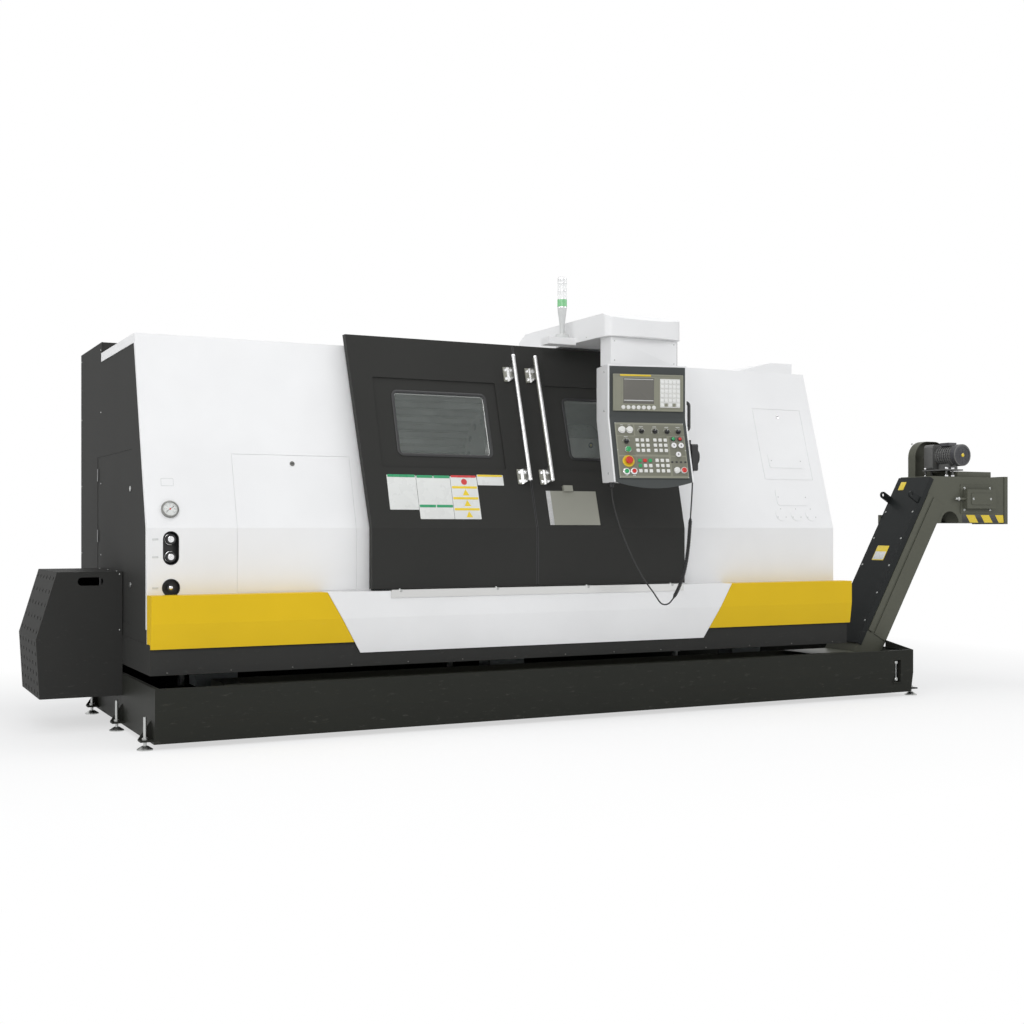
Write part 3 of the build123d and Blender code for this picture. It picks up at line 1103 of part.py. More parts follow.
def conveyor_cover():
    """Cover on the upper side of the incline, with its two lifting eyes."""
    y0, y1 = CONVEYOR_Y, CONVEYOR_Y + CONVEYOR_WIDTH
    length = (HEAD_TOP - CONVEYOR_BOTTOM - CONVEYOR_THICK) / sin(radians(CONVEYOR_ANGLE))
    start = CONVEYOR_THICK * (1 - cos(radians(CONVEYOR_ANGLE))) / sin(radians(CONVEYOR_ANGLE))
    cover_length = length - 70
    at = incline_plane(start + 60 + cover_length / 2, CONVEYOR_THICK + 4, (y0 + y1) / 2)
    plate = at * Box(cover_length, 8, CONVEYOR_WIDTH + 12)
    lips = at * Pos(0, -14, CONVEYOR_WIDTH / 2 + 4.5) * Box(cover_length, 36, 3)
    lips += at * Pos(0, -14, -CONVEYOR_WIDTH / 2 - 4.5) * Box(cover_length, 36, 3)
    body = plate + lips
    for y in (y0 + 8, y1 - 8):
        eye = incline_plane(start + length - EYE_SETBACK, CONVEYOR_THICK + 2, y)
        lug = extrude(eye * Pos(0, EYE_REACH / 2) * Rectangle(2 * EYE_RADIUS, EYE_REACH), amount=6, both=True)
        lug += extrude(eye * Pos(0, EYE_REACH) * Circle(EYE_RADIUS), amount=6, both=True)
        body += lug - extrude(eye * Pos(0, EYE_REACH) * Circle(EYE_HOLE), amount=8, both=True)
    return body


def conveyor_drive_guard():
    """Chain guard on the back of the head, from the motor's shaft down to the head shaft."""
    y = CONVEYOR_Y + CONVEYOR_WIDTH
    left, top = DRIVE_X - 125, DRIVE_Z + 106
    outline = Polygon((left, SHAFT_Z - 115), (left, top), (DRIVE_X + 125, top), (SHAFT_X + 110, SHAFT_Z),
                      (SHAFT_X + 110, SHAFT_Z - 115), align=None)
    rounded = fillet(outline.vertices().group_by(Axis.Y)[-1], 110)
    rounded = fillet(rounded.vertices().group_by(Axis.Y)[0], 50)
    guard = conveyor_face(rounded, y + 1, y + 68)
    hollow = conveyor_face(offset(rounded, amount=-SHEET), y + 1 - REACH, y + 68 - SHEET)
    return guard - hollow


def conveyor_motor():
    """Geared motor on its plate, standing on four studs."""
    y0 = CONVEYOR_Y
    plate_z = HEAD_TOP + 42
    motor = rod((DRIVE_X, y0 - 25, DRIVE_Z), (DRIVE_X, y0 + 14, DRIVE_Z), MOTOR_RADIUS)
    motor += rod((DRIVE_X, y0 + 14, DRIVE_Z), (DRIVE_X, y0 + 170, DRIVE_Z), STATOR_RADIUS)
    for rib in range(7):
        y = y0 + 24 + rib * 20
        motor += rod((DRIVE_X, y, DRIVE_Z), (DRIVE_X, y + 8, DRIVE_Z), FIN_RADIUS)
    box = block((DRIVE_X - 75, DRIVE_X + 75), (y0 + 170, y0 + 250), (plate_z + 8, DRIVE_Z + 78))
    motor += fillet(box.edges().filter_by(Axis.Y), 22)
    motor += block((DRIVE_X - 90, DRIVE_X + 60), (y0 + 30, y0 + 252), (plate_z, plate_z + 9))
    motor += block((DRIVE_X - 40, DRIVE_X + 40), (y0 + 60, y0 + 150), (plate_z + 8, DRIVE_Z - 45))
    for x in (DRIVE_X - 75, DRIVE_X - 20):
        for y in (y0 + 45, y0 + 236):
            motor += rod((x, y, HEAD_TOP), (x, y, plate_z + 24), 7)
    motor += rod((DRIVE_X, y0 + 250, DRIVE_Z), (DRIVE_X, CONVEYOR_Y + CONVEYOR_WIDTH + 40, DRIVE_Z), 16)
    return motor


def sprocket(y, radius, teeth, thick):
    """A chain wheel on the head shaft."""
    tooth = radius * 0.12
    step = 360.0 / teeth
    points = []
    for index in range(teeth):
        for share, reach in ((0.0, radius - tooth), (0.35, radius - tooth), (0.5, radius + tooth), (0.65, radius + tooth)):
            angle = radians((index + share) * step)
            points.append((SHAFT_X + reach * cos(angle), SHAFT_Z + reach * sin(angle)))
    return along_y(points, y, y + thick)


def conveyor_shaft():
    y0, y1 = CONVEYOR_Y, CONVEYOR_Y + CONVEYOR_WIDTH
    shaft = rod((SHAFT_X, y0 - 24, SHAFT_Z), (SHAFT_X, y1 + 46, SHAFT_Z), SHAFT_RADIUS)
    for y in (y0 + 34, y1 - 46):
        shaft += sprocket(y, 68, 10, 12)
    return shaft + sprocket(y1 + 26, 80, 16, 10)


def door_outline(side):
    """Front view of one door; its outer edge leans outwards above the crease."""
    edge = DOOR_SEAM + side * DOOR_WIDTH
    top = edge + side * DOOR_FLARE
    low = APRON_TOP + RAIL_THICK + 3
    inner = DOOR_SEAM + side * SEAM / 2
    return [(inner, low), (edge, low), (edge, CREASE), (top, DOOR_TOP), (inner, DOOR_TOP)]


def door(side):
    """A folded door: front skin with returns all round, and a set-in frame for its window."""
    low = APRON_TOP + RAIL_THICK + 3
    outline = Polygon(*door_outline(side), align=None)
    inside = offset(outline, amount=-SHEET, kind=Kind.INTERSECTION)
    section = folded_front(DOOR_Y, low - REACH, DOOR_TOP + REACH, DOOR_THICK)
    behind = folded_front(DOOR_Y + SHEET, low - REACH, DOOR_TOP + REACH, DOOR_THICK + REACH)
    x = (DOOR_SEAM - 1200, DOOR_SEAM + 1200)
    body = along_x(section, *x) & conveyor_face(outline, 0, BED_FRONT)
    body -= along_x(behind, *x) & conveyor_face(inside, 0, BED_FRONT)
    middle = DOOR_SEAM + WINDOW_FROM_SEAM[side > 0]
    frame = on_front(middle, WINDOW_Z, DOOR_Y)
    body -= front_plate(frame.offset(REACH), WINDOW_WIDTH, WINDOW_HEIGHT, -(REACH + WINDOW_INSET), 8)
    tray = front_plate(frame, WINDOW_WIDTH + 2 * SHEET, WINDOW_HEIGHT + 2 * SHEET, -(WINDOW_INSET + SHEET), 8 + SHEET)
    tray -= front_plate(frame.offset(REACH), WINDOW_WIDTH, WINDOW_HEIGHT, -(REACH + WINDOW_INSET), 8)
    body += tray
    pane = on_front(middle + GLASS_SHIFT, WINDOW_Z, DOOR_Y)
    body -= front_plate(pane.offset(REACH), GLASS_WIDTH, GLASS_HEIGHT, -60, 26)
    return body


def door_window(side):
    middle = DOOR_SEAM + WINDOW_FROM_SEAM[side > 0] + GLASS_SHIFT
    pane = on_front(middle, WINDOW_Z, DOOR_Y, -(WINDOW_INSET + SHEET))
    return front_plate(pane, GLASS_WIDTH + 2 * GLASS_LAP, GLASS_HEIGHT + 2 * GLASS_LAP, -GLASS_THICK, 30)


def door_handle(side):
    """Round bar on two plate brackets that stand square off the door."""
    x = DOOR_SEAM + HANDLE_FROM_SEAM[side > 0]
    low = on_front(x, HANDLE_LOW, DOOR_Y, HANDLE_STANDOFF).origin
    high = on_front(x, HANDLE_HIGH, DOOR_Y, HANDLE_STANDOFF).origin
    bar = rod(low, high, HANDLE_RADIUS)
    for z in (HANDLE_LOW + 45, HANDLE_HIGH - 80):
        at = on_front(x, z, DOOR_Y)
        bar += at * Pos(0, 0, HANDLE_STANDOFF / 2) * Box(8, BRACKET_HEIGHT, HANDLE_STANDOFF)
        bar += at * Pos(-14, 0, 4) * Box(36, BRACKET_HEIGHT, 8)
    return bar


def catch_plate():
    """Plate with the door's interlock catch, on the right door beside the seam."""
    slope = (CATCH_HIGH - CATCH_LOW) / cos(LEAN_ANGLE)
    at = on_front(CATCH_X, (CATCH_HIGH + CATCH_LOW) / 2, DOOR_Y)
    plate = extrude(at * Rectangle(CATCH_WIDTH, slope), amount=3)
    tab = at * Pos(-22, slope / 2 + 12, 9) * Box(58, 34, 18)
    return plate + tab


parts = {
    "coolant_tank": coolant_tank(),
    "levelling_feet": levelling_feet(),
    "bed_casting": bed_casting(),
    "base_frame": base_frame(),
    "apron_left": apron_wing(-1),
    "apron_centre": apron_centre(),
    "apron_right": apron_wing(1),
    "door_rail": door_rail(),
    "left_cabinet": left_cabinet(),
    "left_end_panel": left_end_panel(),
    "left_access_panel": access_panel(LEFT_PANEL_X, LEFT_PANEL_Z),
    "right_cabinet": right_cabinet(),
    "right_access_panel": right_access_panel(),
    "centre_canopy": centre_canopy(),
    "electrical_cabinet": electrical_cabinet(),
    "pendant_boom": pendant_boom() + pendant_column(),
    "beacon_stem": beacon_stem(),
    "beacon_lens": beacon_lens(),
    "pressure_gauge": pressure_gauge(),
    "service_knobs": service_knobs(),
    "motor_guard": motor_guard(),
    "spindle_motor": spindle_motor(),
    "headstock": headstock(),
    "conveyor_body": conveyor_body(),
    "conveyor_cover": conveyor_cover(),
    "conveyor_drive_guard": conveyor_drive_guard(),
    "conveyor_motor": conveyor_motor(),
    "conveyor_shaft": conveyor_shaft(),
    "spindle_chuck": spindle_chuck(),
    "saddle": saddle(),
    "cross_slide": cross_slide(),
    "turret_disc": turret_disc(),
    "tailstock": tailstock(),
    "pendant_housing": pendant_housing(),
    "pendant_bezel": pendant_bezel(),
    "display_unit": display_unit(),
    "operator_keys": operator_keys(),
    "estop_button": estop_button(),
    "start_button": push_button(START_BUTTON),
    "stop_button": push_button(STOP_BUTTON),
    "pendant_side_fittings": Compound([handwheel_unit(), grab_handle()]),
    "handwheel": handwheel(),
    "cord_gland": cord_gland(),
}
for name, place in SELECTORS.items():
    parts[name] = selector(place)
for turn in range(3):
    parts[f"chuck_jaw_{turn + 1}"] = chuck_jaw(turn)
for name, side in (("left", -1), ("right", 1)):
    parts[f"{name}_door"] = door(side)
    parts[f"{name}_window"] = door_window(side)
    parts[f"{name}_handle"] = door_handle(side)
parts["right_handle"] = Compound([parts["right_handle"], catch_plate()])
cords = {
    "cord_upper": cord_tube("cord_upper", UPPER_POINTS, CORD_RADIUS),
    "cord_coil": cord_tube("cord_coil", CURL_POINTS, COIL_RADIUS),
    "cord_lower": cord_tube("cord_lower", LOWER_POINTS, CORD_RADIUS),
}

# The origin lies on the floor under the middle of the machine, without its cord
boxes = [shape.bounding_box() for shape in parts.values()]
MIDDLE_X = (min(box.min.X for box in boxes) + max(box.max.X for box in boxes)) / 2
MIDDLE_Y = (min(box.min.Y for box in boxes) + max(box.max.Y for box in boxes)) / 2
parts.update(cords)

os.makedirs("parts", exist_ok=True)
for name, shape in parts.items():
    export_step(Pos(-MIDDLE_X, -MIDDLE_Y, 0) * shape, f"parts/{name}.step")
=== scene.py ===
"""Looks of a slant-bed turning lathe with sliding doors, pendant and chip conveyor.

Sizes are in millimetres, measured along X from the left end of the coolant tank, along Y from its front and
up from the floor. Site.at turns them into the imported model's metres.
"""
from __future__ import annotations

import logging
import math
from dataclasses import dataclass, field
from enum import Enum
from typing import Sequence

import bmesh
import bpy
from mathutils import Matrix, Vector


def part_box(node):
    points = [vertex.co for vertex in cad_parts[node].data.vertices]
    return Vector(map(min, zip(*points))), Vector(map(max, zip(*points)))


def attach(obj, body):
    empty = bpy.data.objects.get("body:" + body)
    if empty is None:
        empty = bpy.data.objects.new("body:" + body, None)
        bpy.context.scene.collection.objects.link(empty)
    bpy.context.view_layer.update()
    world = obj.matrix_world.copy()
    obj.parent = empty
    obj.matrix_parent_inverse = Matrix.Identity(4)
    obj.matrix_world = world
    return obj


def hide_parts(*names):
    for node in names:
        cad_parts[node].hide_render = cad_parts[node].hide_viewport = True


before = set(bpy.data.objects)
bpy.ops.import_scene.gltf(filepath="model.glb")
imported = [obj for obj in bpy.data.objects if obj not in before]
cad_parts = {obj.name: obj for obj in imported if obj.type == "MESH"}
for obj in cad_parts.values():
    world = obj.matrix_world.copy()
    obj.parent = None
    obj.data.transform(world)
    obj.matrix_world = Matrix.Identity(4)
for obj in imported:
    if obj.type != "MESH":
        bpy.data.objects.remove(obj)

log = logging.getLogger("lathe")

MM = 0.001
Point = tuple[float, float, float]
Pair = tuple[float, float]
Colour = tuple[float, float, float]

# Driving sizes of the machine in millimetres: the fold of its front, how far the front leans back above the
# fold for each millimetre of height, and the fronts of the doors and of the cabinets
CREASE = 1050.0
LEAN = 0.30
LEAN_ANGLE = math.atan(LEAN)
DOOR_Y = 110.0
CABINET_Y = 180.0

# Directions in the working frame
FORWARD = (0.0, -1.0, 0.0)
BACKWARD = (0.0, 1.0, 0.0)
UPWARD = (0.0, 0.0, 1.0)
LEFTWARD = (-1.0, 0.0, 0.0)
RIGHTWARD = (1.0, 0.0, 0.0)

# Colour of the dust on low painted sheets
DUST = (0.42, 0.40, 0.36)


class Body(Enum):
    """Bodies that pieces ride on: the machine itself and what moves on it."""

    MACHINE = "machine"
    LEFT_DOOR = "left_door"
    RIGHT_DOOR = "right_door"
    PENDANT = "pendant"
    CROSS_SLIDE = "cross_slide"
    OVERRIDE = "override_selector"
    MODE = "mode_selector"
    FEED = "feed_selector"
    RAPID = "rapid_selector"
    SPINDLE_SELECTOR = "spindle_selector"


class Site:
    """Turns the machine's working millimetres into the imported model's metres."""

    def __init__(self) -> None:
        """Read the corners that the working frame is counted from."""
        self.left = float(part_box("base_frame")[0][0])
        self.front = float(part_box("coolant_tank")[0][1])

    def at(self, x: float, y: float, z: float) -> Vector:
        """A point in metres.

        Args:
            x: Distance from the tank's left end in millimetres.
            y: Distance from the tank's front in millimetres.
            z: Height above the floor in millimetres.

        Returns:
            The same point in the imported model's frame.
        """
        return Vector((self.left + x * MM, self.front + y * MM, z * MM))


class Value:
    """A shader socket or a plain number, with arithmetic that adds Math nodes."""

    def __init__(self, tree: Shader, source: bpy.types.NodeSocket | float) -> None:
        """Keep the tree that the value belongs to and its socket or number."""
        self.tree = tree
        self.source = source

    def _math(self, operation: str, *values: Value | float) -> Value:
        """Add a Math node over this value and others."""
        return self.tree.node("ShaderNodeMath", {"operation": operation}, [self, *values])[0]

    def __add__(self, other: Value | float) -> Value:
        """Sum of two values."""
        return self._math("ADD", other)

    __radd__ = __add__

    def __sub__(self, other: Value | float) -> Value:
        """This value less another."""
        return self._math("SUBTRACT", other)

    def __rsub__(self, other: float) -> Value:
        """A number less this value."""
        return self.tree.value(other)._math("SUBTRACT", self)

    def __mul__(self, other: Value | float) -> Value:
        """Product of two values."""
        return self._math("MULTIPLY", other)

    __rmul__ = __mul__

    def __gt__(self, other: Value | float) -> Value:
        """1 where this value is the larger."""
        return self._math("GREATER_THAN", other)

    def __lt__(self, other: Value | float) -> Value:
        """1 where this value is the smaller."""
        return self._math("LESS_THAN", other)

    def size(self) -> Value:
        """This value without its sign."""
        return self._math("ABSOLUTE")

    def larger(self, other: Value | float) -> Value:
        """The larger of two values."""
        return self._math("MAXIMUM", other)

    def clipped(self, low: float, high: float) -> Value:
        """Stretch low..high to 0..1 and cut off what is outside."""
        return self.tree.node("ShaderNodeMapRange", {"clamp": True}, [self, low, high, 0.0, 1.0])[0]


class Shader:
    """One material's node tree."""

    def __init__(self, name: str) -> None:
        """Make an empty material with an output node.

        Args:
            name: The material's name.
        """
        self.material = bpy.data.materials.new(name)
        self.material.use_nodes = True
        self.nodes = self.material.node_tree.nodes
        self.links = self.material.node_tree.links
        self.nodes.clear()
        self.output = self.nodes.new("ShaderNodeOutputMaterial")

    def value(self, number: float) -> Value:
        """Wrap a plain number."""
        return Value(self, number)

    def node(self, kind: str, settings: dict | None = None,
             inputs: Sequence | dict | None = None) -> list[Value]:
        """Add any node.

        Args:
            kind: The node's type.
            settings: Its properties.
            inputs: Values or links of its sockets, in order or by name.

        Returns:
            Its output sockets.
        """
        made = self.nodes.new(kind)
        for key, setting in (settings or {}).items():
            setattr(made, key, setting)
        pairs = inputs.items() if isinstance(inputs, dict) else enumerate(inputs or [])
        for key, given in pairs:
            self.feed(made.inputs[key], given)
        return [Value(self, socket) for socket in made.outputs]

    def feed(self, socket: bpy.types.NodeSocket, given: Value | float | Sequence[float]) -> None:
        """Link a value to a socket, or set the socket to a number or colour.

        Args:
            socket: The socket to fill.
            given: A value, a number or a colour.
        """
        source = given.source if isinstance(given, Value) else given
        if isinstance(source, bpy.types.NodeSocket):
            self.links.new(source, socket)
        elif isinstance(source, (int, float)):
            socket.default_value = source
        else:
            wide = len(socket.default_value)
            socket.default_value = tuple(source) if len(source) == wide else (*source[:3], 1.0)

    def mix(self, share: Value | float, first: Value | Colour, second: Value | Colour) -> Value:
        """Blend two colours by a share from 0 to 1.

        Args:
            share: How much of the second shows, from 0 to 1.
            first: What shows at 0.
            second: What shows at 1.

        Returns:
            The new value.
        """
        made = self.nodes.new("ShaderNodeMix")
        made.data_type = "RGBA"
        sockets = (made.inputs["Factor"], made.inputs[6], made.inputs[7])
        for socket, given in zip(sockets, (share, first, second)):
            self.feed(socket, given)
        return Value(self, made.outputs[2])

    def place(self) -> Value:
        """Position on the object in metres."""
        return self.node("ShaderNodeTexCoord")[3]

    def axes(self) -> list[Value]:
        """X, Y and Z of the position on the object in metres."""
        return self.node("ShaderNodeSeparateXYZ", None, [self.place()])

    def noise(self, scale: float, detail: float = 2.0, stretch: Point = (1.0, 1.0, 1.0),
              rough: float = 0.5) -> Value:
        """Smooth noise from 0 to 1.

        Args:
            scale: Waves to the metre.
            detail: Octaves.
            stretch: Scale along each axis.
            rough: Strength of the fine octaves.

        Returns:
            The noise's value.
        """
        place = self.node("ShaderNodeMapping", None, {"Vector": self.place(), "Scale": stretch})[0]
        return self.node("ShaderNodeTexNoise", None,
                         {"Vector": place, "Scale": scale, "Detail": detail, "Roughness": rough})[0]

    def bump(self, height: Value, strength: float, depth: float) -> Value:
        """Normal from a height.

        Args:
            height: The height, from 0 to 1.
            strength: Share of the effect.
            depth: Real height of the relief in metres.

        Returns:
            The bent normal.
        """
        inputs = {"Height": height, "Strength": strength, "Distance": depth}
        return self.node("ShaderNodeBump", None, inputs)[0]

    def surface(self, **sockets: Value | float | Sequence[float]) -> bpy.types.Material:
        """Finish the tree with a Principled shader.

        Args:
            **sockets: Its sockets, with underscores for spaces.

        Returns:
            The finished material.
        """
        named = {key.replace("_", " "): given for key, given in sockets.items()}
        made = self.node("ShaderNodeBsdfPrincipled", None, named)
        self.links.new(made[0].source, self.output.inputs["Surface"])
        return self.material


def shaded(colour: Colour, share: float) -> Colour:
    """A colour made lighter or darker by a share."""
    return tuple(min(1.0, channel * share) for channel in colour)


class Finish:
    """A surface finish that makes its material once."""

    name: str
    _made: dict[str, bpy.types.Material] = {}

    def material(self) -> bpy.types.Material:
        """The finish's material, made on first use.

        Returns:
            The finished material.
        """
        if self.name not in Finish._made:
            Finish._made[self.name] = self.build(Shader(self.name))
        return Finish._made[self.name]

    def build(self, shader: Shader) -> bpy.types.Material:
        """Build the node tree."""
        raise NotImplementedError


@dataclass(frozen=True)
class SprayedPaint(Finish):
    """Powder coat on sheet metal: faint orange peel, cloudy gloss and dust low down."""

    name: str
    colour: Colour
    roughness: float = 0.34
    peel: float = 0.00012
    dust: float = 0.10
    gloss: float = 0.12

    def build(self, shader: Shader) -> bpy.types.Material:
        """Build the node tree.

        Args:
            shader: The empty tree to fill.

        Returns:
            The finished material.
        """
        cloud = shader.noise(2.3, 3.0)
        speck = shader.noise(320.0, 2.0)
        scuff = shader.noise(18.0, 6.0, (1.0, 1.0, 3.5), 0.7).clipped(0.60, 0.78)
        height = shader.axes()[2]
        low = 1.0 - height.clipped(0.05, 0.9)
        tone = shader.mix(cloud.clipped(0.3, 0.7), shaded(self.colour, 0.965), shaded(self.colour, 1.02))
        dusty = shader.mix(low * scuff * self.dust, tone, DUST)
        rough = self.roughness + (cloud - 0.5) * 0.08 + scuff * 0.05
        normal = shader.bump(speck, 0.35, self.peel)
        return shader.surface(Base_Color=dusty, Roughness=rough, Normal=normal, Specular_IOR_Level=self.gloss)


@dataclass(frozen=True)
class CastPaint(Finish):
    """Painted casting: coarse skin and oil-stained hollows."""

    name: str
    colour: Colour
    roughness: float = 0.5

    def build(self, shader: Shader) -> bpy.types.Material:
        """Build the node tree.

        Args:
            shader: The empty tree to fill.

        Returns:
            The finished material.
        """
        grain = shader.noise(95.0, 5.0, rough=0.65)
        stain = shader.noise(5.0, 4.0).clipped(0.45, 0.75)
        tone = shader.mix(stain * 0.5, self.colour, shaded(self.colour, 0.45))
        return shader.surface(Base_Color=tone, Roughness=self.roughness - stain * 0.18, Metallic=0.1,
                              Normal=shader.bump(grain, 0.5, 0.0007))


@dataclass(frozen=True)
class BrushedMetal(Finish):
    """Bare metal with a brushed or ground grain along one axis."""

    name: str
    colour: Colour
    roughness: float = 0.3
    grain: Point = (1.0, 60.0, 60.0)
    depth: float = 0.00004

    def build(self, shader: Shader) -> bpy.types.Material:
        """Build the node tree.

        Args:
            shader: The empty tree to fill.

        Returns:
            The finished material.
        """
        lines = shader.noise(22.0, 4.0, self.grain, 0.7)
        smudge = shader.noise(7.0, 3.0).clipped(0.4, 0.8)
        tone = shader.mix(lines, shaded(self.colour, 0.86), self.colour)
        rough = self.roughness + (lines - 0.5) * 0.12 + smudge * 0.08
        return shader.surface(Base_Color=tone, Roughness=rough, Metallic=1.0,
                              Normal=shader.bump(lines, 0.4, self.depth))


@dataclass(frozen=True)
class HandleSteel(Finish):
    """Door handles: a bright tube on dull brackets, told apart by their place across the door."""

    name: str
    tube: Colour = (0.62, 0.62, 0.62)
    bracket: Colour = (0.27, 0.27, 0.23)
    bars: Pair = (2045.0, 2186.0)
    half: float = 15.0

    def build(self, shader: Shader) -> bpy.types.Material:
        """Build the node tree.

        Args:
            shader: The empty tree to fill.

        Returns:
            The finished material.
        """
        lines = shader.noise(22.0, 4.0, (1.0, 60.0, 60.0), 0.7)
        left = float(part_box("base_frame")[0][0])
        across = shader.axes()[0]
        first, second = ((across - (left + bar * MM)).size() < self.half * MM for bar in self.bars)
        bright = first.larger(second)
        tone = shader.mix(bright, shader.mix(lines, self.bracket, shaded(self.bracket, 1.12)), self.tube)
        rough = 0.55 - bright * 0.27 + (lines - 0.5) * 0.1
        return shader.surface(Base_Color=tone, Roughness=rough, Metallic=bright * 0.9 + 0.1,
                              Normal=shader.bump(lines, 0.3, 0.00004))


@dataclass(frozen=True)
class Plastic(Finish):
    """Moulded plastic with a fine eroded grain."""

    name: str
    colour: Colour
    roughness: float = 0.42
    grain: float = 0.00008

    def build(self, shader: Shader) -> bpy.types.Material:
        """Build the node tree.

        Args:
            shader: The empty tree to fill.

        Returns:
            The finished material.
        """
        grain = shader.noise(900.0, 2.0)
        touch = shader.noise(14.0, 3.0).clipped(0.45, 0.75)
        tone = shader.mix(touch * 0.25, self.colour, tuple(min(1.0, c * 0.85 + 0.01) for c in self.colour))
        return shader.surface(Base_Color=tone, Roughness=self.roughness - touch * 0.08,
                              Normal=shader.bump(grain, 0.5, self.grain))


@dataclass(frozen=True)
class Glass(Finish):
    """Laminated pane: clear, faintly green and smeared."""

    name: str
    colour: Colour = (0.30, 0.33, 0.31)
    alpha: float = 0.16
    mirror: float = 0.45

    def build(self, shader: Shader) -> bpy.types.Material:
        """Build the node tree.

        Args:
            shader: The empty tree to fill.

        Returns:
            The finished material.
        """
        smear = shader.noise(6.0, 5.0, (1.0, 1.0, 2.5), 0.65).clipped(0.4, 0.8)
        tone = shader.mix(smear, self.colour, shaded(self.colour, 1.08))
        return shader.surface(Base_Color=tone, Roughness=0.04 + smear * 0.07, Alpha=self.alpha + smear * 0.06,
                              Specular_IOR_Level=self.mirror)


@dataclass(frozen=True)
class Lamp(Finish):
    """Lens or lit screen: a colour with a faint glow."""

    name: str
    colour: Colour
    glow: float = 0.15
    roughness: float = 0.15

    def build(self, shader: Shader) -> bpy.types.Material:
        """Build the node tree.

        Args:
            shader: The empty tree to fill.

        Returns:
            The finished material.
        """
        ribs = shader.noise(140.0, 1.0)
        tone = shader.mix(ribs * 0.4, self.colour, shaded(self.colour, 0.8))
        return shader.surface(Base_Color=tone, Roughness=self.roughness, Emission_Color=tone,
                              Emission_Strength=self.glow, Normal=shader.bump(ribs, 0.2, 0.0002))


class Paints:
    """All finishes of the machine."""

    WHITE = SprayedPaint("white_coat", (0.84, 0.84, 0.84), gloss=0.35)
    DARK = SprayedPaint("charcoal_coat", (0.043, 0.043, 0.041), 0.48, 0.00016, 0.12, 0.01)
    DOOR = SprayedPaint("door_coat", (0.036, 0.036, 0.034), 0.42, 0.00016, 0.1, 0.06)
    TANK = SprayedPaint("tank_coat", (0.029, 0.030, 0.026), 0.44, 0.00014, 0.12, 0.04)
    CONVEYOR = SprayedPaint("conveyor_coat", (0.110, 0.112, 0.088), 0.42, 0.00014, 0.15, 0.10)
    COVER = SprayedPaint("conveyor_cover_coat", (0.016, 0.018, 0.018), 0.40, 0.00014, 0.15)
    YELLOW = SprayedPaint("yellow_coat", (0.74, 0.490, 0.014), 0.42, gloss=0.14)
    CAST = CastPaint("casting_paint", (0.30, 0.33, 0.33))
    MOTOR = CastPaint("motor_casting", (0.05, 0.05, 0.055))
    GEARED = CastPaint("geared_motor_paint", (0.13, 0.13, 0.125))
    COVER_GREY = CastPaint("cover_block_paint", (0.62, 0.62, 0.60))
    COVER_DARK = CastPaint("cover_plate_paint", (0.22, 0.22, 0.21))
    STEEL = BrushedMetal("brushed_steel", (0.68, 0.68, 0.67))
    HARD = BrushedMetal("ground_steel", (0.42, 0.42, 0.43), 0.28, (60.0, 1.0, 1.0))
    ZINC = BrushedMetal("zinc_plate", (0.55, 0.56, 0.55), 0.38, (8.0, 8.0, 8.0))
    DULL = BrushedMetal("dull_zinc", (0.16, 0.16, 0.15), 0.5, (8.0, 8.0, 8.0))
    CHROME = BrushedMetal("bright_chrome", (0.85, 0.85, 0.86), 0.10, (2.0, 2.0, 2.0), 0.00001)
    RIM = BrushedMetal("gauge_rim", (0.26, 0.26, 0.25), 0.25, (2.0, 2.0, 2.0), 0.00001)
    HANDLE = HandleSteel("handle_steel")
    ALUMINIUM = BrushedMetal("cast_aluminium", (0.62, 0.62, 0.61), 0.45, (3.0, 3.0, 3.0), 0.0001)
    BLACK = Plastic("black_plastic", (0.018, 0.018, 0.019))
    BEZEL = Plastic("bezel_plastic", (0.032, 0.037, 0.036), 0.48)
    GREY = Plastic("grey_plastic", (0.62, 0.63, 0.62))
    IVORY = Plastic("key_plastic", (0.72, 0.72, 0.69), 0.38)
    RED = Plastic("red_plastic", (0.55, 0.025, 0.018), 0.25, 0.00002)
    GREEN = Plastic("green_plastic", (0.02, 0.32, 0.10), 0.28, 0.00002)
    YELLOW_PLASTIC = Plastic("yellow_plastic", (0.72, 0.52, 0.03), 0.35)
    RUBBER = Plastic("cord_jacket", (0.016, 0.016, 0.016), 0.55, 0.00012)
    GLASS = Glass("door_glass")
    LENS = Glass("beacon_tube", (0.86, 0.88, 0.87), 0.30, 0.8)
    GREEN_LAMP = Lamp("green_lamp", (0.20, 0.52, 0.24), 0.12)
    SCREEN = Lamp("display_face", (0.13, 0.125, 0.11), 0.04, 0.2)
    PANEL = Plastic("panel_grey", (0.235, 0.235, 0.18), 0.5)
    PANEL_DARK = Plastic("panel_field_grey", (0.16, 0.16, 0.12), 0.5)
    KEY_FACE = Plastic("keypad_faces", (0.80, 0.80, 0.78), 0.35)
    LABEL = Plastic("label_film", (0.70, 0.71, 0.69), 0.3, 0.00001)
    LABEL_GREEN = Plastic("label_green", (0.03, 0.30, 0.13), 0.3, 0.00001)
    LABEL_RED = Plastic("label_red", (0.60, 0.05, 0.05), 0.3, 0.00001)
    LABEL_YELLOW = Plastic("label_yellow", (0.78, 0.58, 0.03), 0.3, 0.00001)
    WORK_LIGHT = Lamp("work_light", (0.95, 0.97, 1.0), 2.5, 0.3)


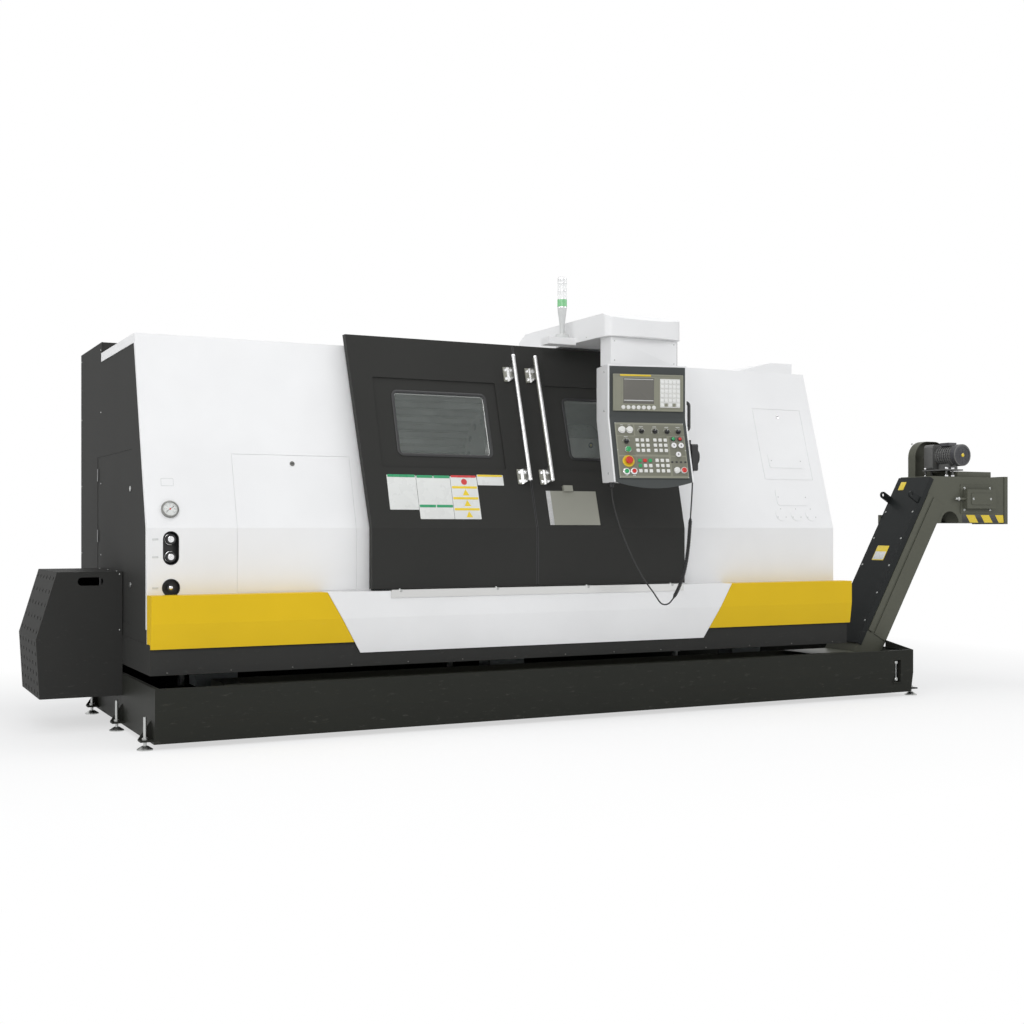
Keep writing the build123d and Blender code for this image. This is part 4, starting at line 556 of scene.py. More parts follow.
NODE_FINISHES: dict[Finish, tuple[str, ...]] = {
    Paints.WHITE: ("apron_centre", "left_cabinet", "left_access_panel", "right_cabinet", "right_access_panel",
                   "centre_canopy", "pendant_boom", "pendant_housing"),
    Paints.DARK: ("left_end_panel", "electrical_cabinet", "motor_guard", "base_frame"),
    Paints.DOOR: ("left_door", "right_door"),
    Paints.TANK: ("coolant_tank",),
    Paints.CONVEYOR: ("conveyor_body", "conveyor_drive_guard"),
    Paints.COVER: ("conveyor_cover",),
    Paints.YELLOW: ("apron_left", "apron_right"),
    Paints.CAST: ("bed_casting", "headstock", "saddle", "cross_slide", "tailstock"),
    Paints.MOTOR: ("spindle_motor",),
    Paints.STEEL: ("door_rail", "turret_disc"),
    Paints.HANDLE: ("left_handle", "right_handle"),
    Paints.HARD: ("spindle_chuck", "chuck_jaw_1", "chuck_jaw_2", "chuck_jaw_3", "conveyor_shaft"),
    Paints.ZINC: ("levelling_feet",),
    Paints.RIM: ("pressure_gauge",),
    Paints.GEARED: ("conveyor_motor",),
    Paints.BLACK: ("service_knobs", "override_selector", "mode_selector", "feed_selector", "rapid_selector",
                   "spindle_selector", "handwheel", "pendant_side_fittings", "cord_gland"),
    Paints.BEZEL: ("pendant_bezel",),
    Paints.PANEL: ("display_unit",),
    Paints.GREY: ("beacon_stem",),
    Paints.IVORY: ("operator_keys",),
    Paints.RED: ("estop_button", "stop_button"),
    Paints.GREEN: ("start_button",),
    Paints.RUBBER: ("cord_upper", "cord_coil", "cord_lower"),
    Paints.GLASS: ("left_window", "right_window"),
    Paints.LENS: ("beacon_lens",),
}


@dataclass(frozen=True)
class Place:
    """A flat place on the machine: a point and the directions of its face, in millimetres."""

    origin: Vector
    right: Vector
    up: Vector

    @property
    def out(self) -> Vector:
        """Direction out of the face."""
        return self.right.cross(self.up).normalized()

    def moved(self, right: float = 0.0, up: float = 0.0, out: float = 0.0) -> Place:
        """The same face at another point."""
        return Place(self.origin + self.right * right + self.up * up + self.out * out, self.right, self.up)

    def around(self, radius: float, angle: float, out: float = 0.0) -> Place:
        """The same face at a point on a circle about this one, at an angle in degrees."""
        turn = math.radians(angle)
        return self.moved(right=radius * math.cos(turn), up=radius * math.sin(turn), out=out)

    def spun(self, angle: float) -> Place:
        """The face turned in its own plane by an angle in degrees."""
        turn = Matrix.Rotation(math.radians(angle), 3, self.out)
        return Place(self.origin, turn @ self.right, turn @ self.up)

    def matrix(self) -> Matrix:
        """Matrix from the face's own frame to the working frame.

        Returns:
            The matrix.
        """
        rows = (self.right, self.up, self.out)
        turn = Matrix([[axis[index] for axis in rows] for index in range(3)]).to_4x4()
        return Matrix.Translation(self.origin) @ turn


def leaning(x: float, z: float, base: float) -> Place:
    """Place on a front that leans back above the crease.

    Args:
        x: Distance from the tank's left end.
        z: Height above the floor.
        base: Distance of the upright stretch from the tank's front.

    Returns:
        The place.
    """
    if z < CREASE:
        return Place(Vector((x, base, z)), Vector(RIGHTWARD), Vector(UPWARD))
    up = Vector((0, math.sin(LEAN_ANGLE), math.cos(LEAN_ANGLE)))
    return Place(Vector((x, base + LEAN * (z - CREASE), z)), Vector(RIGHTWARD), up)


def facing(point: Point, out: Point, up: Point = (0.0, 0.0, 1.0)) -> Place:
    """Place at a point with a given direction out and up.

    Args:
        point: Where it is.
        out: Direction out of the face.
        up: Direction up along the face.

    Returns:
        The place.
    """
    direction, upward = Vector(out).normalized(), Vector(up).normalized()
    right = upward.cross(direction).normalized()
    return Place(Vector(point), right, direction.cross(right).normalized())


class Sheet:
    """Collects mesh in working millimetres for one piece of one finish."""

    def __init__(self) -> None:
        """Start empty."""
        self.verts: list[Vector] = []
        self.faces: list[tuple[int, ...]] = []

    def add(self, verts: Sequence[Vector], faces: Sequence[Sequence[int]], matrix: Matrix) -> None:
        """Add a shape through a matrix.

        Args:
            verts: The shape's points.
            faces: The shape's faces, as indices of its points.
            matrix: Placement.
        """
        first = len(self.verts)
        self.verts += [matrix @ Vector(vert) for vert in verts]
        self.faces += [tuple(first + index for index in face) for face in faces]

    def rings(self, rings: Sequence[Sequence[Vector]], matrix: Matrix) -> None:
        """Join rings of points into a skin, closed at both ends.

        Args:
            rings: Closed rings with the same count of points.
            matrix: Placement.
        """
        count = len(rings[0])
        verts = [vert for ring in rings for vert in ring]
        faces: list[Sequence[int]] = []
        for row in range(len(rings) - 1):
            for index in range(count):
                following = (index + 1) % count
                low, high = row * count, (row + 1) * count
                faces.append((low + index, low + following, high + following, high + index))
        faces.append(tuple(reversed(range(count))))
        faces.append(tuple((len(rings) - 1) * count + index for index in range(count)))
        self.add(verts, faces, matrix)

    @staticmethod
    def outline(width: float, height: float, corner: float, steps: int = 4) -> list[Pair]:
        """Corners of a rounded rectangle about the origin.

        Args:
            width: Full width.
            height: Full height.
            corner: Corner radius.
            steps: Steps of each rounded corner.

        Returns:
            The points, in order round the outline.
        """
        corner = min(corner, width / 2 - 1e-4, height / 2 - 1e-4)
        points = []
        for index, (sx, sy) in enumerate(((1, 1), (-1, 1), (-1, -1), (1, -1))):
            centre = (sx * (width / 2 - corner), sy * (height / 2 - corner))
            for step in range(steps + 1):
                angle = math.radians(90 * index + 90 * step / steps)
                points.append((centre[0] + corner * math.cos(angle), centre[1] + corner * math.sin(angle)))
        return points

    def slab(self, place: Place, width: float, height: float, depth: float, corner: float = 2.0,
             edge: float = 0.8) -> None:
        """A plate with rounded corners and softened front edge.

        Args:
            place: Middle of its back face.
            width: Size along the place's right.
            height: Size along the place's up.
            depth: Thickness outwards.
            corner: Corner radius.
            edge: Size of the softened edge.
        """
        edge = min(edge, depth * 0.9)
        inner = self.outline(width - 2 * edge, height - 2 * edge, max(corner - edge, 0.3))
        outer = self.outline(width, height, corner)
        middle = [((a[0] + b[0] * 2.4) / 3.4, (a[1] + b[1] * 2.4) / 3.4) for a, b in zip(inner, outer)]
        rings = [[Vector((x, y, 0)) for x, y in outer], [Vector((x, y, depth - edge)) for x, y in outer],
                 [Vector((x, y, depth - edge * 0.29)) for x, y in middle],
                 [Vector((x, y, depth)) for x, y in inner]]
        self.rings(rings, place.matrix())

    def frame(self, place: Place, width: float, height: float, band: float, depth: float,
              corner: float) -> None:
        """A frame of rounded section round an opening.

        Args:
            place: Middle of the opening, on its back face.
            width: Outer width.
            height: Outer height.
            band: Width of the band.
            depth: Thickness outwards.
            corner: Outer corner radius.
        """
        outer = self.outline(width, height, corner, 8)
        inner = self.outline(width - 2 * band, height - 2 * band, max(corner - band, 1.0), 8)
        shoulder = depth * 0.7
        section = [(0.0, 0.0), (0.0, shoulder), (0.18, depth), (0.82, depth), (1.0, shoulder), (1.0, 0.0)]
        count = len(outer)
        verts = [Vector((a[0] + (b[0] - a[0]) * share, a[1] + (b[1] - a[1]) * share, rise))
                 for a, b in zip(outer, inner) for share, rise in section]
        width_count = len(section)
        faces = []
        for index in range(count):
            here, there = index * width_count, ((index + 1) % count) * width_count
            for step in range(width_count):
                after = (step + 1) % width_count
                faces.append((here + step, there + step, there + after, here + after))
        self.add(verts, faces, place.matrix())

    def turned(self, place: Place, profile: Sequence[Pair], segments: int = 24) -> None:
        """A turned shape about the place's outward axis, from (radius, height) pairs.

        Args:
            place: Foot of its axis, which points out of the place.
            profile: Pairs of radius and height.
            segments: Sides of the round.
        """
        rings = []
        for radius, height in profile:
            rings.append([Vector((radius * math.cos(2 * math.pi * step / segments),
                                  radius * math.sin(2 * math.pi * step / segments), height))
                          for step in range(segments)])
        self.rings(rings, place.matrix())

    def cap_screw(self, place: Place, radius: float = 6.0, height: float = 5.0) -> None:
        """A socket-head screw with its hexagonal recess and washer.

        Args:
            place: Middle of its seat.
            radius: Radius of the head.
            height: Height of its head.
        """
        rim = radius * 0.55
        self.turned(place, [(radius * 1.5, 0), (radius * 1.5, 1.0), (radius, 1.2), (radius, height * 0.85),
                            (radius * 0.9, height), (rim, height), (rim * 0.98, height * 0.45)], 12)

    def pan_screw(self, place: Place, radius: float = 4.0) -> None:
        """A small domed screw."""
        self.turned(place, [(radius, 0), (radius, radius * 0.25), (radius * 0.8, radius * 0.5),
                            (radius * 0.35, radius * 0.62), (radius * 0.2, radius * 0.4)], 10)

    def text(self, place: Place, words: str, height: float, depth: float = 0.4) -> None:
        """Raised plain figures, centred on a place.

        Args:
            place: Middle of the figures.
            words: What to write.
            height: Height of the figures.
            depth: Half of the thickness.
        """
        curve = bpy.data.curves.new("figures", "FONT")
        curve.body = words
        curve.size = height * 1.4
        curve.align_x = "CENTER"
        curve.align_y = "CENTER"
        curve.extrude = depth
        curve.resolution_u = 2
        holder = bpy.data.objects.new("figures", curve)
        mesh = bpy.data.meshes.new_from_object(holder)
        self.add([vert.co for vert in mesh.vertices], [tuple(face.vertices) for face in mesh.polygons],
                 place.matrix())
        bpy.data.objects.remove(holder)
        bpy.data.curves.remove(curve)
        bpy.data.meshes.remove(mesh)

    def piece(self, site: Site, name: str, finish: Finish, body: Body, slot: str) -> bpy.types.Object:
        """Make the collected mesh a piece of the machine.

        Args:
            site: The working frame.
            name: The piece's name.
            finish: Its finish.
            body: What it rides on.
            slot: The record's material slot; not used.

        Returns:
            The new object.
        """
        mesh = bpy.data.meshes.new(name)
        offset = site.at(0, 0, 0)
        mesh.from_pydata([offset + vert * MM for vert in self.verts], [], self.faces)
        work = bmesh.new()
        work.from_mesh(mesh)
        bmesh.ops.recalc_face_normals(work, faces=work.faces)
        for face in work.faces:
            face.smooth = True
        work.to_mesh(mesh)
        work.free()
        mesh.set_sharp_from_angle(angle=math.radians(38))
        mesh.materials.append(finish.material())
        made = bpy.data.objects.new(name, mesh)
        bpy.context.scene.collection.objects.link(made)
        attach(made, body.value)
        log.info("piece %s: %d faces", name, len(mesh.polygons))
        return made


@dataclass
class Studio:
    """Camera, lamps, floor and backdrop."""

    eye: Point = (-1395.0, -6484.0, 1050.0)
    yaw: float = 26.8
    focal_px: float = 1365.0
    frame_px: float = 1024.0
    horizon_px: float = 528.0
    sky: float = 0.45
    floor_white: float = 0.62
    floor_middle: Point = (2600.0, 800.0, -0.5)
    floor_reach: float = 30.0
    fade_from: Pair = (3.1, 1.1)
    fade_over: float = 2.2
    lamps: tuple[tuple[str, Point, Point, Pair, float], ...] = (
        ("front_lamp", (-1800.0, -5200.0, 4600.0), (2200.0, 400.0, 900.0), (5.0, 3.0), 172.0),
        ("right_lamp", (8500.0, -4200.0, 3600.0), (3600.0, 400.0, 1000.0), (4.0, 3.0), 80.0),
        ("top_lamp", (2300.0, 200.0, 6200.0), (2300.0, 500.0, 1500.0), (7.0, 4.0), 145.0),
        ("left_lamp", (-5200.0, 300.0, 2600.0), (1500.0, 200.0, 1700.0), (3.0, 3.0), 62.0))

    def camera(self, site: Site) -> None:
        """Set the camera where the photograph was taken from.

        Args:
            site: The working frame.
        """
        data = bpy.data.cameras.new("camera")
        data.sensor_width = 36.0
        data.lens = self.focal_px / self.frame_px * data.sensor_width
        data.shift_y = (self.horizon_px - self.frame_px / 2) / self.frame_px
        data.clip_end = 60.0
        made = bpy.data.objects.new("camera", data)
        made.location = site.at(*self.eye)
        made.rotation_euler = (math.radians(90), 0.0, math.radians(-self.yaw))
        bpy.context.scene.collection.objects.link(made)
        bpy.context.scene.camera = made

    def lamp(self, site: Site, name: str, point: Point, target: Point, size: Pair, watts: float) -> None:
        """Hang one soft rectangular lamp.

        Args:
            site: The working frame.
            name: The lamp's name.
            point: Where it hangs.
            target: What it faces.
            size: Its sides in metres.
            watts: Its power.
        """
        data = bpy.data.lights.new(name, "AREA")
        data.shape = "RECTANGLE"
        data.size, data.size_y = size
        data.energy = watts
        made = bpy.data.objects.new(name, data)
        made.location = site.at(*point)
        aim = site.at(*target) - made.location
        made.rotation_euler = aim.to_track_quat("-Z", "Y").to_euler()
        bpy.context.scene.collection.objects.link(made)

    @staticmethod
    def direct_rays(tree: bpy.types.NodeTree) -> bpy.types.NodeSocket:
        """Socket that is 1 for what the camera sees, itself, in metal or through glass.

        Args:
            tree: The node tree to add to.

        Returns:
            The socket.
        """
        rays = tree.nodes.new("ShaderNodeLightPath")
        seen = rays.outputs["Is Camera Ray"]
        for ray in ("Is Glossy Ray", "Is Transmission Ray"):
            either = tree.nodes.new("ShaderNodeMath")
            either.operation = "MAXIMUM"
            tree.links.new(seen, either.inputs[0])
            tree.links.new(rays.outputs[ray], either.inputs[1])
            seen = either.outputs[0]
        return seen

    def world(self) -> None:
        """Even pale surroundings that show white to the camera, to metal and through glass."""
        world = bpy.data.worlds.new("surroundings")
        world.use_nodes = True
        nodes, links = world.node_tree.nodes, world.node_tree.links
        nodes.clear()
        seen = self.direct_rays(world.node_tree)
        light = nodes.new("ShaderNodeBackground")
        light.inputs["Color"].default_value = (0.95, 0.97, 1.0, 1.0)
        light.inputs["Strength"].default_value = self.sky
        white = nodes.new("ShaderNodeBackground")
        white.inputs["Color"].default_value = (1.0, 1.0, 1.0, 1.0)
        blend = nodes.new("ShaderNodeMixShader")
        links.new(seen, blend.inputs[0])
        links.new(light.outputs[0], blend.inputs[1])
        links.new(white.outputs[0], blend.inputs[2])
        output = nodes.new("ShaderNodeOutputWorld")
        links.new(blend.outputs[0], output.inputs["Surface"])
        bpy.context.scene.world = world

    def floor(self, site: Site) -> None:
        """Pale floor that keeps the shadow near the machine and fades to white away from it.

        Args:
            site: The working frame.
        """
        shader = Shader("studio_floor")
        seen = Value(shader, self.direct_rays(shader.material.node_tree))
        middle = site.at(*self.floor_middle)
        x, y, _z = shader.axes()
        beside = (x - middle.x).size() - self.fade_from[0]
        away = beside.larger((y - middle.y).size() - self.fade_from[1]).clipped(0.0, self.fade_over)
        cloud = shader.noise(0.6, 2.0)
        tone = shader.mix(cloud, (0.93, 0.93, 0.93), (0.96, 0.96, 0.96))
        matt = shader.node("ShaderNodeBsdfDiffuse", None, {"Color": tone})[0]
        white = shader.node("ShaderNodeEmission", None, {"Color": (1.0, 1.0, 1.0), "Strength": 1.0})[0]
        share = seen * (away * (1.0 - self.floor_white) + self.floor_white)
        made = shader.nodes.new("ShaderNodeMixShader")
        for socket, given in zip(made.inputs, (share, matt, white)):
            shader.feed(socket, given)
        shader.links.new(made.outputs[0], shader.output.inputs["Surface"])
        mesh = bpy.data.meshes.new("floor")
        reach = self.floor_reach
        corners = [(-reach, -reach), (reach, -reach), (reach, reach), (-reach, reach)]
        mesh.from_pydata([middle + Vector((x, y, 0.0)) for x, y in corners], [], [(0, 1, 2, 3)])
        mesh.materials.append(shader.material)
        made_floor = bpy.data.objects.new("floor", mesh)
        bpy.context.scene.collection.objects.link(made_floor)

    def build(self, site: Site) -> None:
        """Set the whole studio.

        Args:
            site: The working frame.
        """
        self.camera(site)
        self.world()
        self.floor(site)
        for lamp in self.lamps:
            self.lamp(site, *lamp)
        bpy.context.scene.view_settings.view_transform = "Standard"
        log.info("studio set")


@dataclass
class PendantFrame:
    """The pendant's own frame about its swivel axis."""

    axis: Pair = (2655.0, -42.0)
    turn: float = -13.9
    front: float = -128.0
    bend: float = 1652.0
    bottom: float = 1297.0
    lean: float = 118.0

    def world(self, a: float, y: float, z: float) -> Vector:
        """A point of the pendant in the working frame.

        Args:
            a: Distance across, from the swivel's axis.
            y: Distance back.
            z: Height above the floor.

        Returns:
            The point in the working frame, in millimetres.
        """
        angle = math.radians(self.turn)
        return Vector((self.axis[0] + a * math.cos(angle) - y * math.sin(angle),
                       self.axis[1] + a * math.sin(angle) + y * math.cos(angle), z))

    def direction(self, a: float, y: float, z: float) -> Vector:
        """A direction of the pendant in the working frame."""
        return self.world(a, y, z) - self.world(0, 0, 0)

    def upper(self, a: float, z: float, lift: float = 0.0) -> Place:
        """Place on the upright upper front."""
        return Place(self.world(a, self.front - lift, z), self.direction(1, 0, 0), Vector(UPWARD))

    def lower(self, a: float, b: float, lift: float = 0.0) -> Place:
        """Place on the leaning lower front: a across, b down from the bend.

        Args:
            a: Distance across, from the swivel's axis.
            b: Distance down from the bend.
            lift: Distance out from the face.

        Returns:
            The place.
        """
        tilt = math.atan2(self.lean, self.bend - self.bottom)
        normal = Vector((0, -math.cos(tilt), math.sin(tilt)))
        down = Vector((0, -math.sin(tilt), -math.cos(tilt)))
        local = Vector((a, self.front, self.bend)) + down * b + normal * lift
        return Place(self.world(*local), self.direction(1, 0, 0), self.direction(*-down))


class Route:
    """A line of points in metres, measured along its length."""

    def __init__(self, points: Sequence[Vector]) -> None:
        """Keep the points and their distances from the start.

        Args:
            points: Points in metres.
        """
        self.points = list(points)
        self.lengths = [0.0]
        for before, after in zip(self.points, self.points[1:]):
            self.lengths.append(self.lengths[-1] + (after - before).length)

    @property
    def total(self) -> float:
        """Length of the whole line."""
        return self.lengths[-1]

    def at(self, distance: float) -> Vector:
        """The point of the line at a distance from its start.

        Args:
            distance: Distance from the start in metres.

        Returns:
            The point in metres.
        """
        for index in range(1, len(self.lengths)):
            before, after = self.lengths[index - 1], self.lengths[index]
            if after >= distance:
                share = (distance - before) / max(after - before, 1e-9)
                return self.points[index - 1].lerp(self.points[index], share)
        return self.points[-1].copy()

    def stretch(self, start: float, end: float, steps: int) -> list[Vector]:
        """Evenly spaced points from one distance to another."""
        return [self.at(start + (end - start) * step / steps) for step in range(steps + 1)]


@dataclass
class Cord:
    """Cord from the pendant's gland to its handwheel unit, with a curled middle."""

    pendant: PendantFrame = field(default_factory=PendantFrame)
    radius: float = 4.0
    curl_radius: float = 7.0
    turns: int = 52
    route: tuple[Point, ...] = (
        (-205, -134, 1267), (-205, -134, 1222), (-185, -136, 1130), (-146, -141, 1010), (-88, -148, 876),
        (-24, -154, 760), (34, -158, 690), (63, -160, 635), (86, -161, 623.5), (112, -162, 630),
        (141, -163, 671), (176, -164, 738), (204, -165, 826), (222, -165, 935), (231, -164, 1045),
        (238, -163, 1140), (245, -161, 1225), (248.5, -160, 1310), (248.5, -160, 1362))
    curl_share: Pair = (0.525, 0.83)
    plain_steps: int = 18
    turn_steps: int = 12
    end_steps: int = 9
    swell: float = 24.0

    def spline(self, name: str, points: Sequence[Vector], radius: float) -> bpy.types.Object:
        """A smooth curve of one open spline through metres.

        Args:
            name: The piece's name.
            points: Points in metres.
            radius: Radius in metres.

        Returns:
            The new object.
        """
        curve = bpy.data.curves.new(name, "CURVE")
        curve.dimensions = "3D"
        curve.resolution_u = 12
        strand = curve.splines.new("NURBS")
        strand.points.add(len(points) - 1)
        for spot, point in zip(strand.points, points):
            spot.co = (*point, 1.0)
        strand.order_u = 3
        strand.use_endpoint_u = True
        curve.bevel_depth = radius
        curve.bevel_resolution = 4
        made = bpy.data.objects.new(name, curve)
        return made

    @staticmethod
    def centreline(made: bpy.types.Object) -> list[Vector]:
        """The points of a curve's own centreline.

        Args:
            made: An object with a curve.

        Returns:
            The points in metres.
        """
        curve = made.data.copy()
        curve.bevel_depth = 0.0
        holder = bpy.data.objects.new("centreline", curve)
        mesh = bpy.data.meshes.new_from_object(holder)
        line = [vert.co.copy() for vert in mesh.vertices]
        bpy.data.objects.remove(holder)
        bpy.data.curves.remove(curve)
        bpy.data.meshes.remove(mesh)
        return line

    def curl(self, route: Route, start: float, end: float) -> list[Vector]:
        """Points of the curled stretch, wound round the route in a helix that swells and tapers.

        Args:
            route: The line to follow.
            start: Distance of its first point.
            end: Distance of its last point.

        Returns:
            The points in metres.
        """
        knots = []
        steps = self.turns * self.turn_steps
        side = Vector(BACKWARD)
        for step in range(1, steps):
            share = step / steps
            here = start + (end - start) * share
            ahead = (route.at(here + 2 * MM) - route.at(here - 2 * MM)).normalized()
            side = (side - ahead * side.dot(ahead)).normalized()
            other = ahead.cross(side)
            angle = 2 * math.pi * self.turns * share
            reach = self.curl_radius * MM * min(1.0, share * self.swell, (1 - share) * self.swell)
            turn = side * (reach * math.cos(angle)) + other * (reach * math.sin(angle))
            knots.append(route.at(here) + turn)
        return knots

    def build(self, site: Site) -> None:
        """Make the cord as one line whose middle is wound into a helix.

        Args:
            site: The working frame.
        """
        offset = site.at(0, 0, 0)
        points = [offset + self.pendant.world(*point) * MM for point in self.route]
        guide = self.spline("route_line", points, 0.0)
        route = Route(self.centreline(guide))
        bpy.data.objects.remove(guide)
        start, end = (share * route.total for share in self.curl_share)
        knots = route.stretch(0.0, start, self.plain_steps)
        knots += self.curl(route, start, end)
        knots += route.stretch(end, route.total, self.end_steps)
        made = self.spline("pendant_cord", knots, self.radius * MM)
        made.data.resolution_u = 3
        made.data.bevel_resolution = 3
        made.data.materials.append(Paints.RUBBER.material())
        bpy.context.scene.collection.objects.link(made)
        length = Route(self.centreline(made)).total
        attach(made, Body.PENDANT.value)
        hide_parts("cord_upper", "cord_coil", "cord_lower")
        log.info("cord: %.2f m along its turns, %.2f m along its route", length, route.total)


@dataclass
class TankTrim:
    """Level gauge in the tank's front and the row of bolts under the skirt."""

    slot: Pair = (4539.0, 4590.0)
    slot_low: float = 94.0
    slot_high: float = 230.0
    fitting_inset: float = 16.0
    fitting_y: float = 20.0
    plate_y: float = 34.0
    plate: Pair = (30.0, 118.0)
    tube_y: float = 22.0
    tube_radius: float = 7.0
    tube_length: float = 84.0
    tube_gap: float = 10.0
    bolts: int = 14
    bolt_pitch: float = 312.0
    bolt_start: float = 81.0
    bolt_radius: float = 4.2
    skirt_y: float = 108.0
    bolt_z: float = 353.0

    @property
    def middle(self) -> float:
        """Middle of the gauge's slot."""
        return (self.slot[0] + self.slot[1]) / 2

    def fittings(self, site: Site) -> None:
        """Make the level gauge's two fittings and the plate behind them.

        Args:
            site: The working frame.
        """
        metal = Sheet()
        for z in (self.slot_low + self.fitting_inset, self.slot_high - self.fitting_inset):
            place = facing((self.middle, self.fitting_y, z), FORWARD)
            metal.turned(place, [(13, 0), (13, 6), (9, 9), (5, 9), (5, 6)], 6)
        centre = (self.middle, self.plate_y, (self.slot_low + self.slot_high) / 2)
        metal.slab(facing(centre, FORWARD), *self.plate, 6, 4)
        metal.piece(site, "tank_fittings", Paints.ZINC, Body.MACHINE, "galvanised")

    def bolt_row(self, site: Site) -> None:
        """Make the bolts along the skirt's lower edge.

        Args:
            site: The working frame.
        """
        heads = Sheet()
        for index in range(self.bolts):
            x = self.bolt_start + index * self.bolt_pitch
            heads.pan_screw(facing((x, self.skirt_y, self.bolt_z), FORWARD), self.bolt_radius)
        heads.piece(site, "skirt_bolts", Paints.DULL, Body.MACHINE, "galvanised")

    def sight_tube(self, site: Site) -> None:
        """Make the level gauge's clear tube.

        Args:
            site: The working frame.
        """
        tube = Sheet()
        low = self.slot_low + self.fitting_inset + self.tube_gap
        radius, length = self.tube_radius, self.tube_length
        tube.turned(facing((self.middle, self.tube_y, low), UPWARD, FORWARD),
                    [(radius, 0), (radius, length), (radius - 1, length + 1), (2, length + 1)], 16)
        tube.piece(site, "sight_tube", Paints.LENS, Body.MACHINE, "glass")

    def build(self, site: Site) -> None:
        """Make the level gauge and the bolts.

        Args:
            site: The working frame.
        """
        self.fittings(site)
        self.bolt_row(site)
        self.sight_tube(site)


@dataclass
class ApronTrim:
    """Bolts in the front and in the top of the door rail."""

    bolts: tuple[float, ...] = (1276.0, 1833.0, 2392.0, 2946.0)
    rail_y: float = 72.0
    rail_z: float = 711.0
    front_rise: float = 14.0
    top_y: float = 96.0
    top_rise: float = 20.0
    head: float = 5.0

    def build(self, site: Site) -> None:
        """Make the bolts.

        Args:
            site: The working frame.
        """
        heads = Sheet()
        for x in self.bolts:
            front = facing((x, self.rail_y, self.rail_z + self.front_rise), FORWARD)
            top = facing((x, self.top_y, self.rail_z + self.top_rise), UPWARD, BACKWARD)
            heads.cap_screw(front, self.head, self.head)
            heads.cap_screw(top, self.head, self.head)
        heads.piece(site, "rail_bolts", Paints.ZINC, Body.MACHINE, "galvanised")


@dataclass
class DoorTrim:
    """Seals, glazing strips and fittings of one sliding door."""

    side: int
    body: Body
    seam: float = 2092.0
    window_from_seam: float = -506.0
    glass: Pair = (542.0, 354.0)
    glass_shift: float = 19.0
    window_z: float = 1614.0
    inset: float = 8.0
    seal_margin: float = 22.0
    seal_band: float = 15.0
    seal_corner: float = 36.0
    strip_margin: float = 2.0
    strip_band: float = 9.0
    strip_corner: float = 26.0
    strip_behind: float = 14.0
    handle_from_seam: float = -49.0
    handle_low: float = 1285.0
    handle_high: float = 1990.0
    standoff: float = 85.0
    bracket_rise: Pair = (45.0, -80.0)
    bracket_screws: float = 26.0
    lip_low: float = 742.0
    lip_high: float = 2080.0

    @property
    def tag(self) -> str:
        """Name of the side."""
        return "left" if self.side < 0 else "right"

    def window_trim(self, site: Site) -> None:
        """Rubber profile round the pane and the bright strip inside it.

        Args:
            site: The working frame.
        """
        x = self.seam + self.window_from_seam + self.glass_shift
        place = leaning(x, self.window_z, DOOR_Y).moved(out=-self.inset)
        seal = Sheet()
        width, height = self.glass
        seal.frame(place, width + self.seal_margin, height + self.seal_margin, self.seal_band, 4.5,
                   self.seal_corner)
        seal.piece(site, f"{self.tag}_window_seal", Paints.BLACK, self.body, "dark_plastic")
        strip = Sheet()
        strip.frame(place.moved(out=-self.strip_behind), width + self.strip_margin,
                    height + self.strip_margin, self.strip_band, 4, self.strip_corner)
        strip.piece(site, f"{self.tag}_glazing_strip", Paints.STEEL, self.body, "bright_steel")

    def handle_trim(self, site: Site) -> None:
        """Screws of the handle brackets and the caps of the bar.

        Args:
            site: The working frame.
        """
        x = self.seam + self.handle_from_seam
        screws = Sheet()
        for z in (self.handle_low + self.bracket_rise[0], self.handle_high + self.bracket_rise[1]):
            place = leaning(x, z, DOOR_Y)
            for up in (-self.bracket_screws, self.bracket_screws):
                screws.cap_screw(place.moved(right=-22, up=up, out=8), 5.5, 5)
                side = place.moved(right=4, up=up * 0.6, out=self.standoff - 30).origin
                screws.cap_screw(Place(side, place.out, place.up), 4.5, 4)
        for z, sign in ((self.handle_low, -1), (self.handle_high, 1)):
            place = leaning(x, z, DOOR_Y).moved(out=self.standoff)
            end = facing(tuple(place.origin), tuple(place.up * sign), RIGHTWARD)
            screws.turned(end, [(12.4, -10), (12.4, -1), (11, 1.5), (4, 2), (3.4, 0.6)], 28)
        screws.piece(site, f"{self.tag}_handle_screws", Paints.CHROME, self.body, "chrome")

    def seam_seal(self, site: Site) -> None:
        """Rubber lip along the closing edge, in a stretch below the crease and one above it.

        Args:
            site: The working frame.
        """
        lip = Sheet()
        edge = self.seam + self.side * 4
        for low, high in ((self.lip_low, CREASE), (CREASE + 1, self.lip_high)):
            start, end = leaning(edge, low, DOOR_Y), leaning(edge, high, DOOR_Y)
            length = (end.origin - start.origin).length
            middle = Place((start.origin + end.origin) / 2, end.right, end.up)
            if low < CREASE:
                middle = Place(middle.origin, start.right, start.up)
            lip.slab(middle.moved(out=-30), 5, length - 2, 30.6, 1.5, 1.2)
        lip.piece(site, f"{self.tag}_seam_lip", Paints.BLACK, self.body, "dark_plastic")

    def build(self, site: Site) -> None:
        """Make all of the door's trim.

        Args:
            site: The working frame.
        """
        self.window_trim(site)
        self.handle_trim(site)
        self.seam_seal(site)


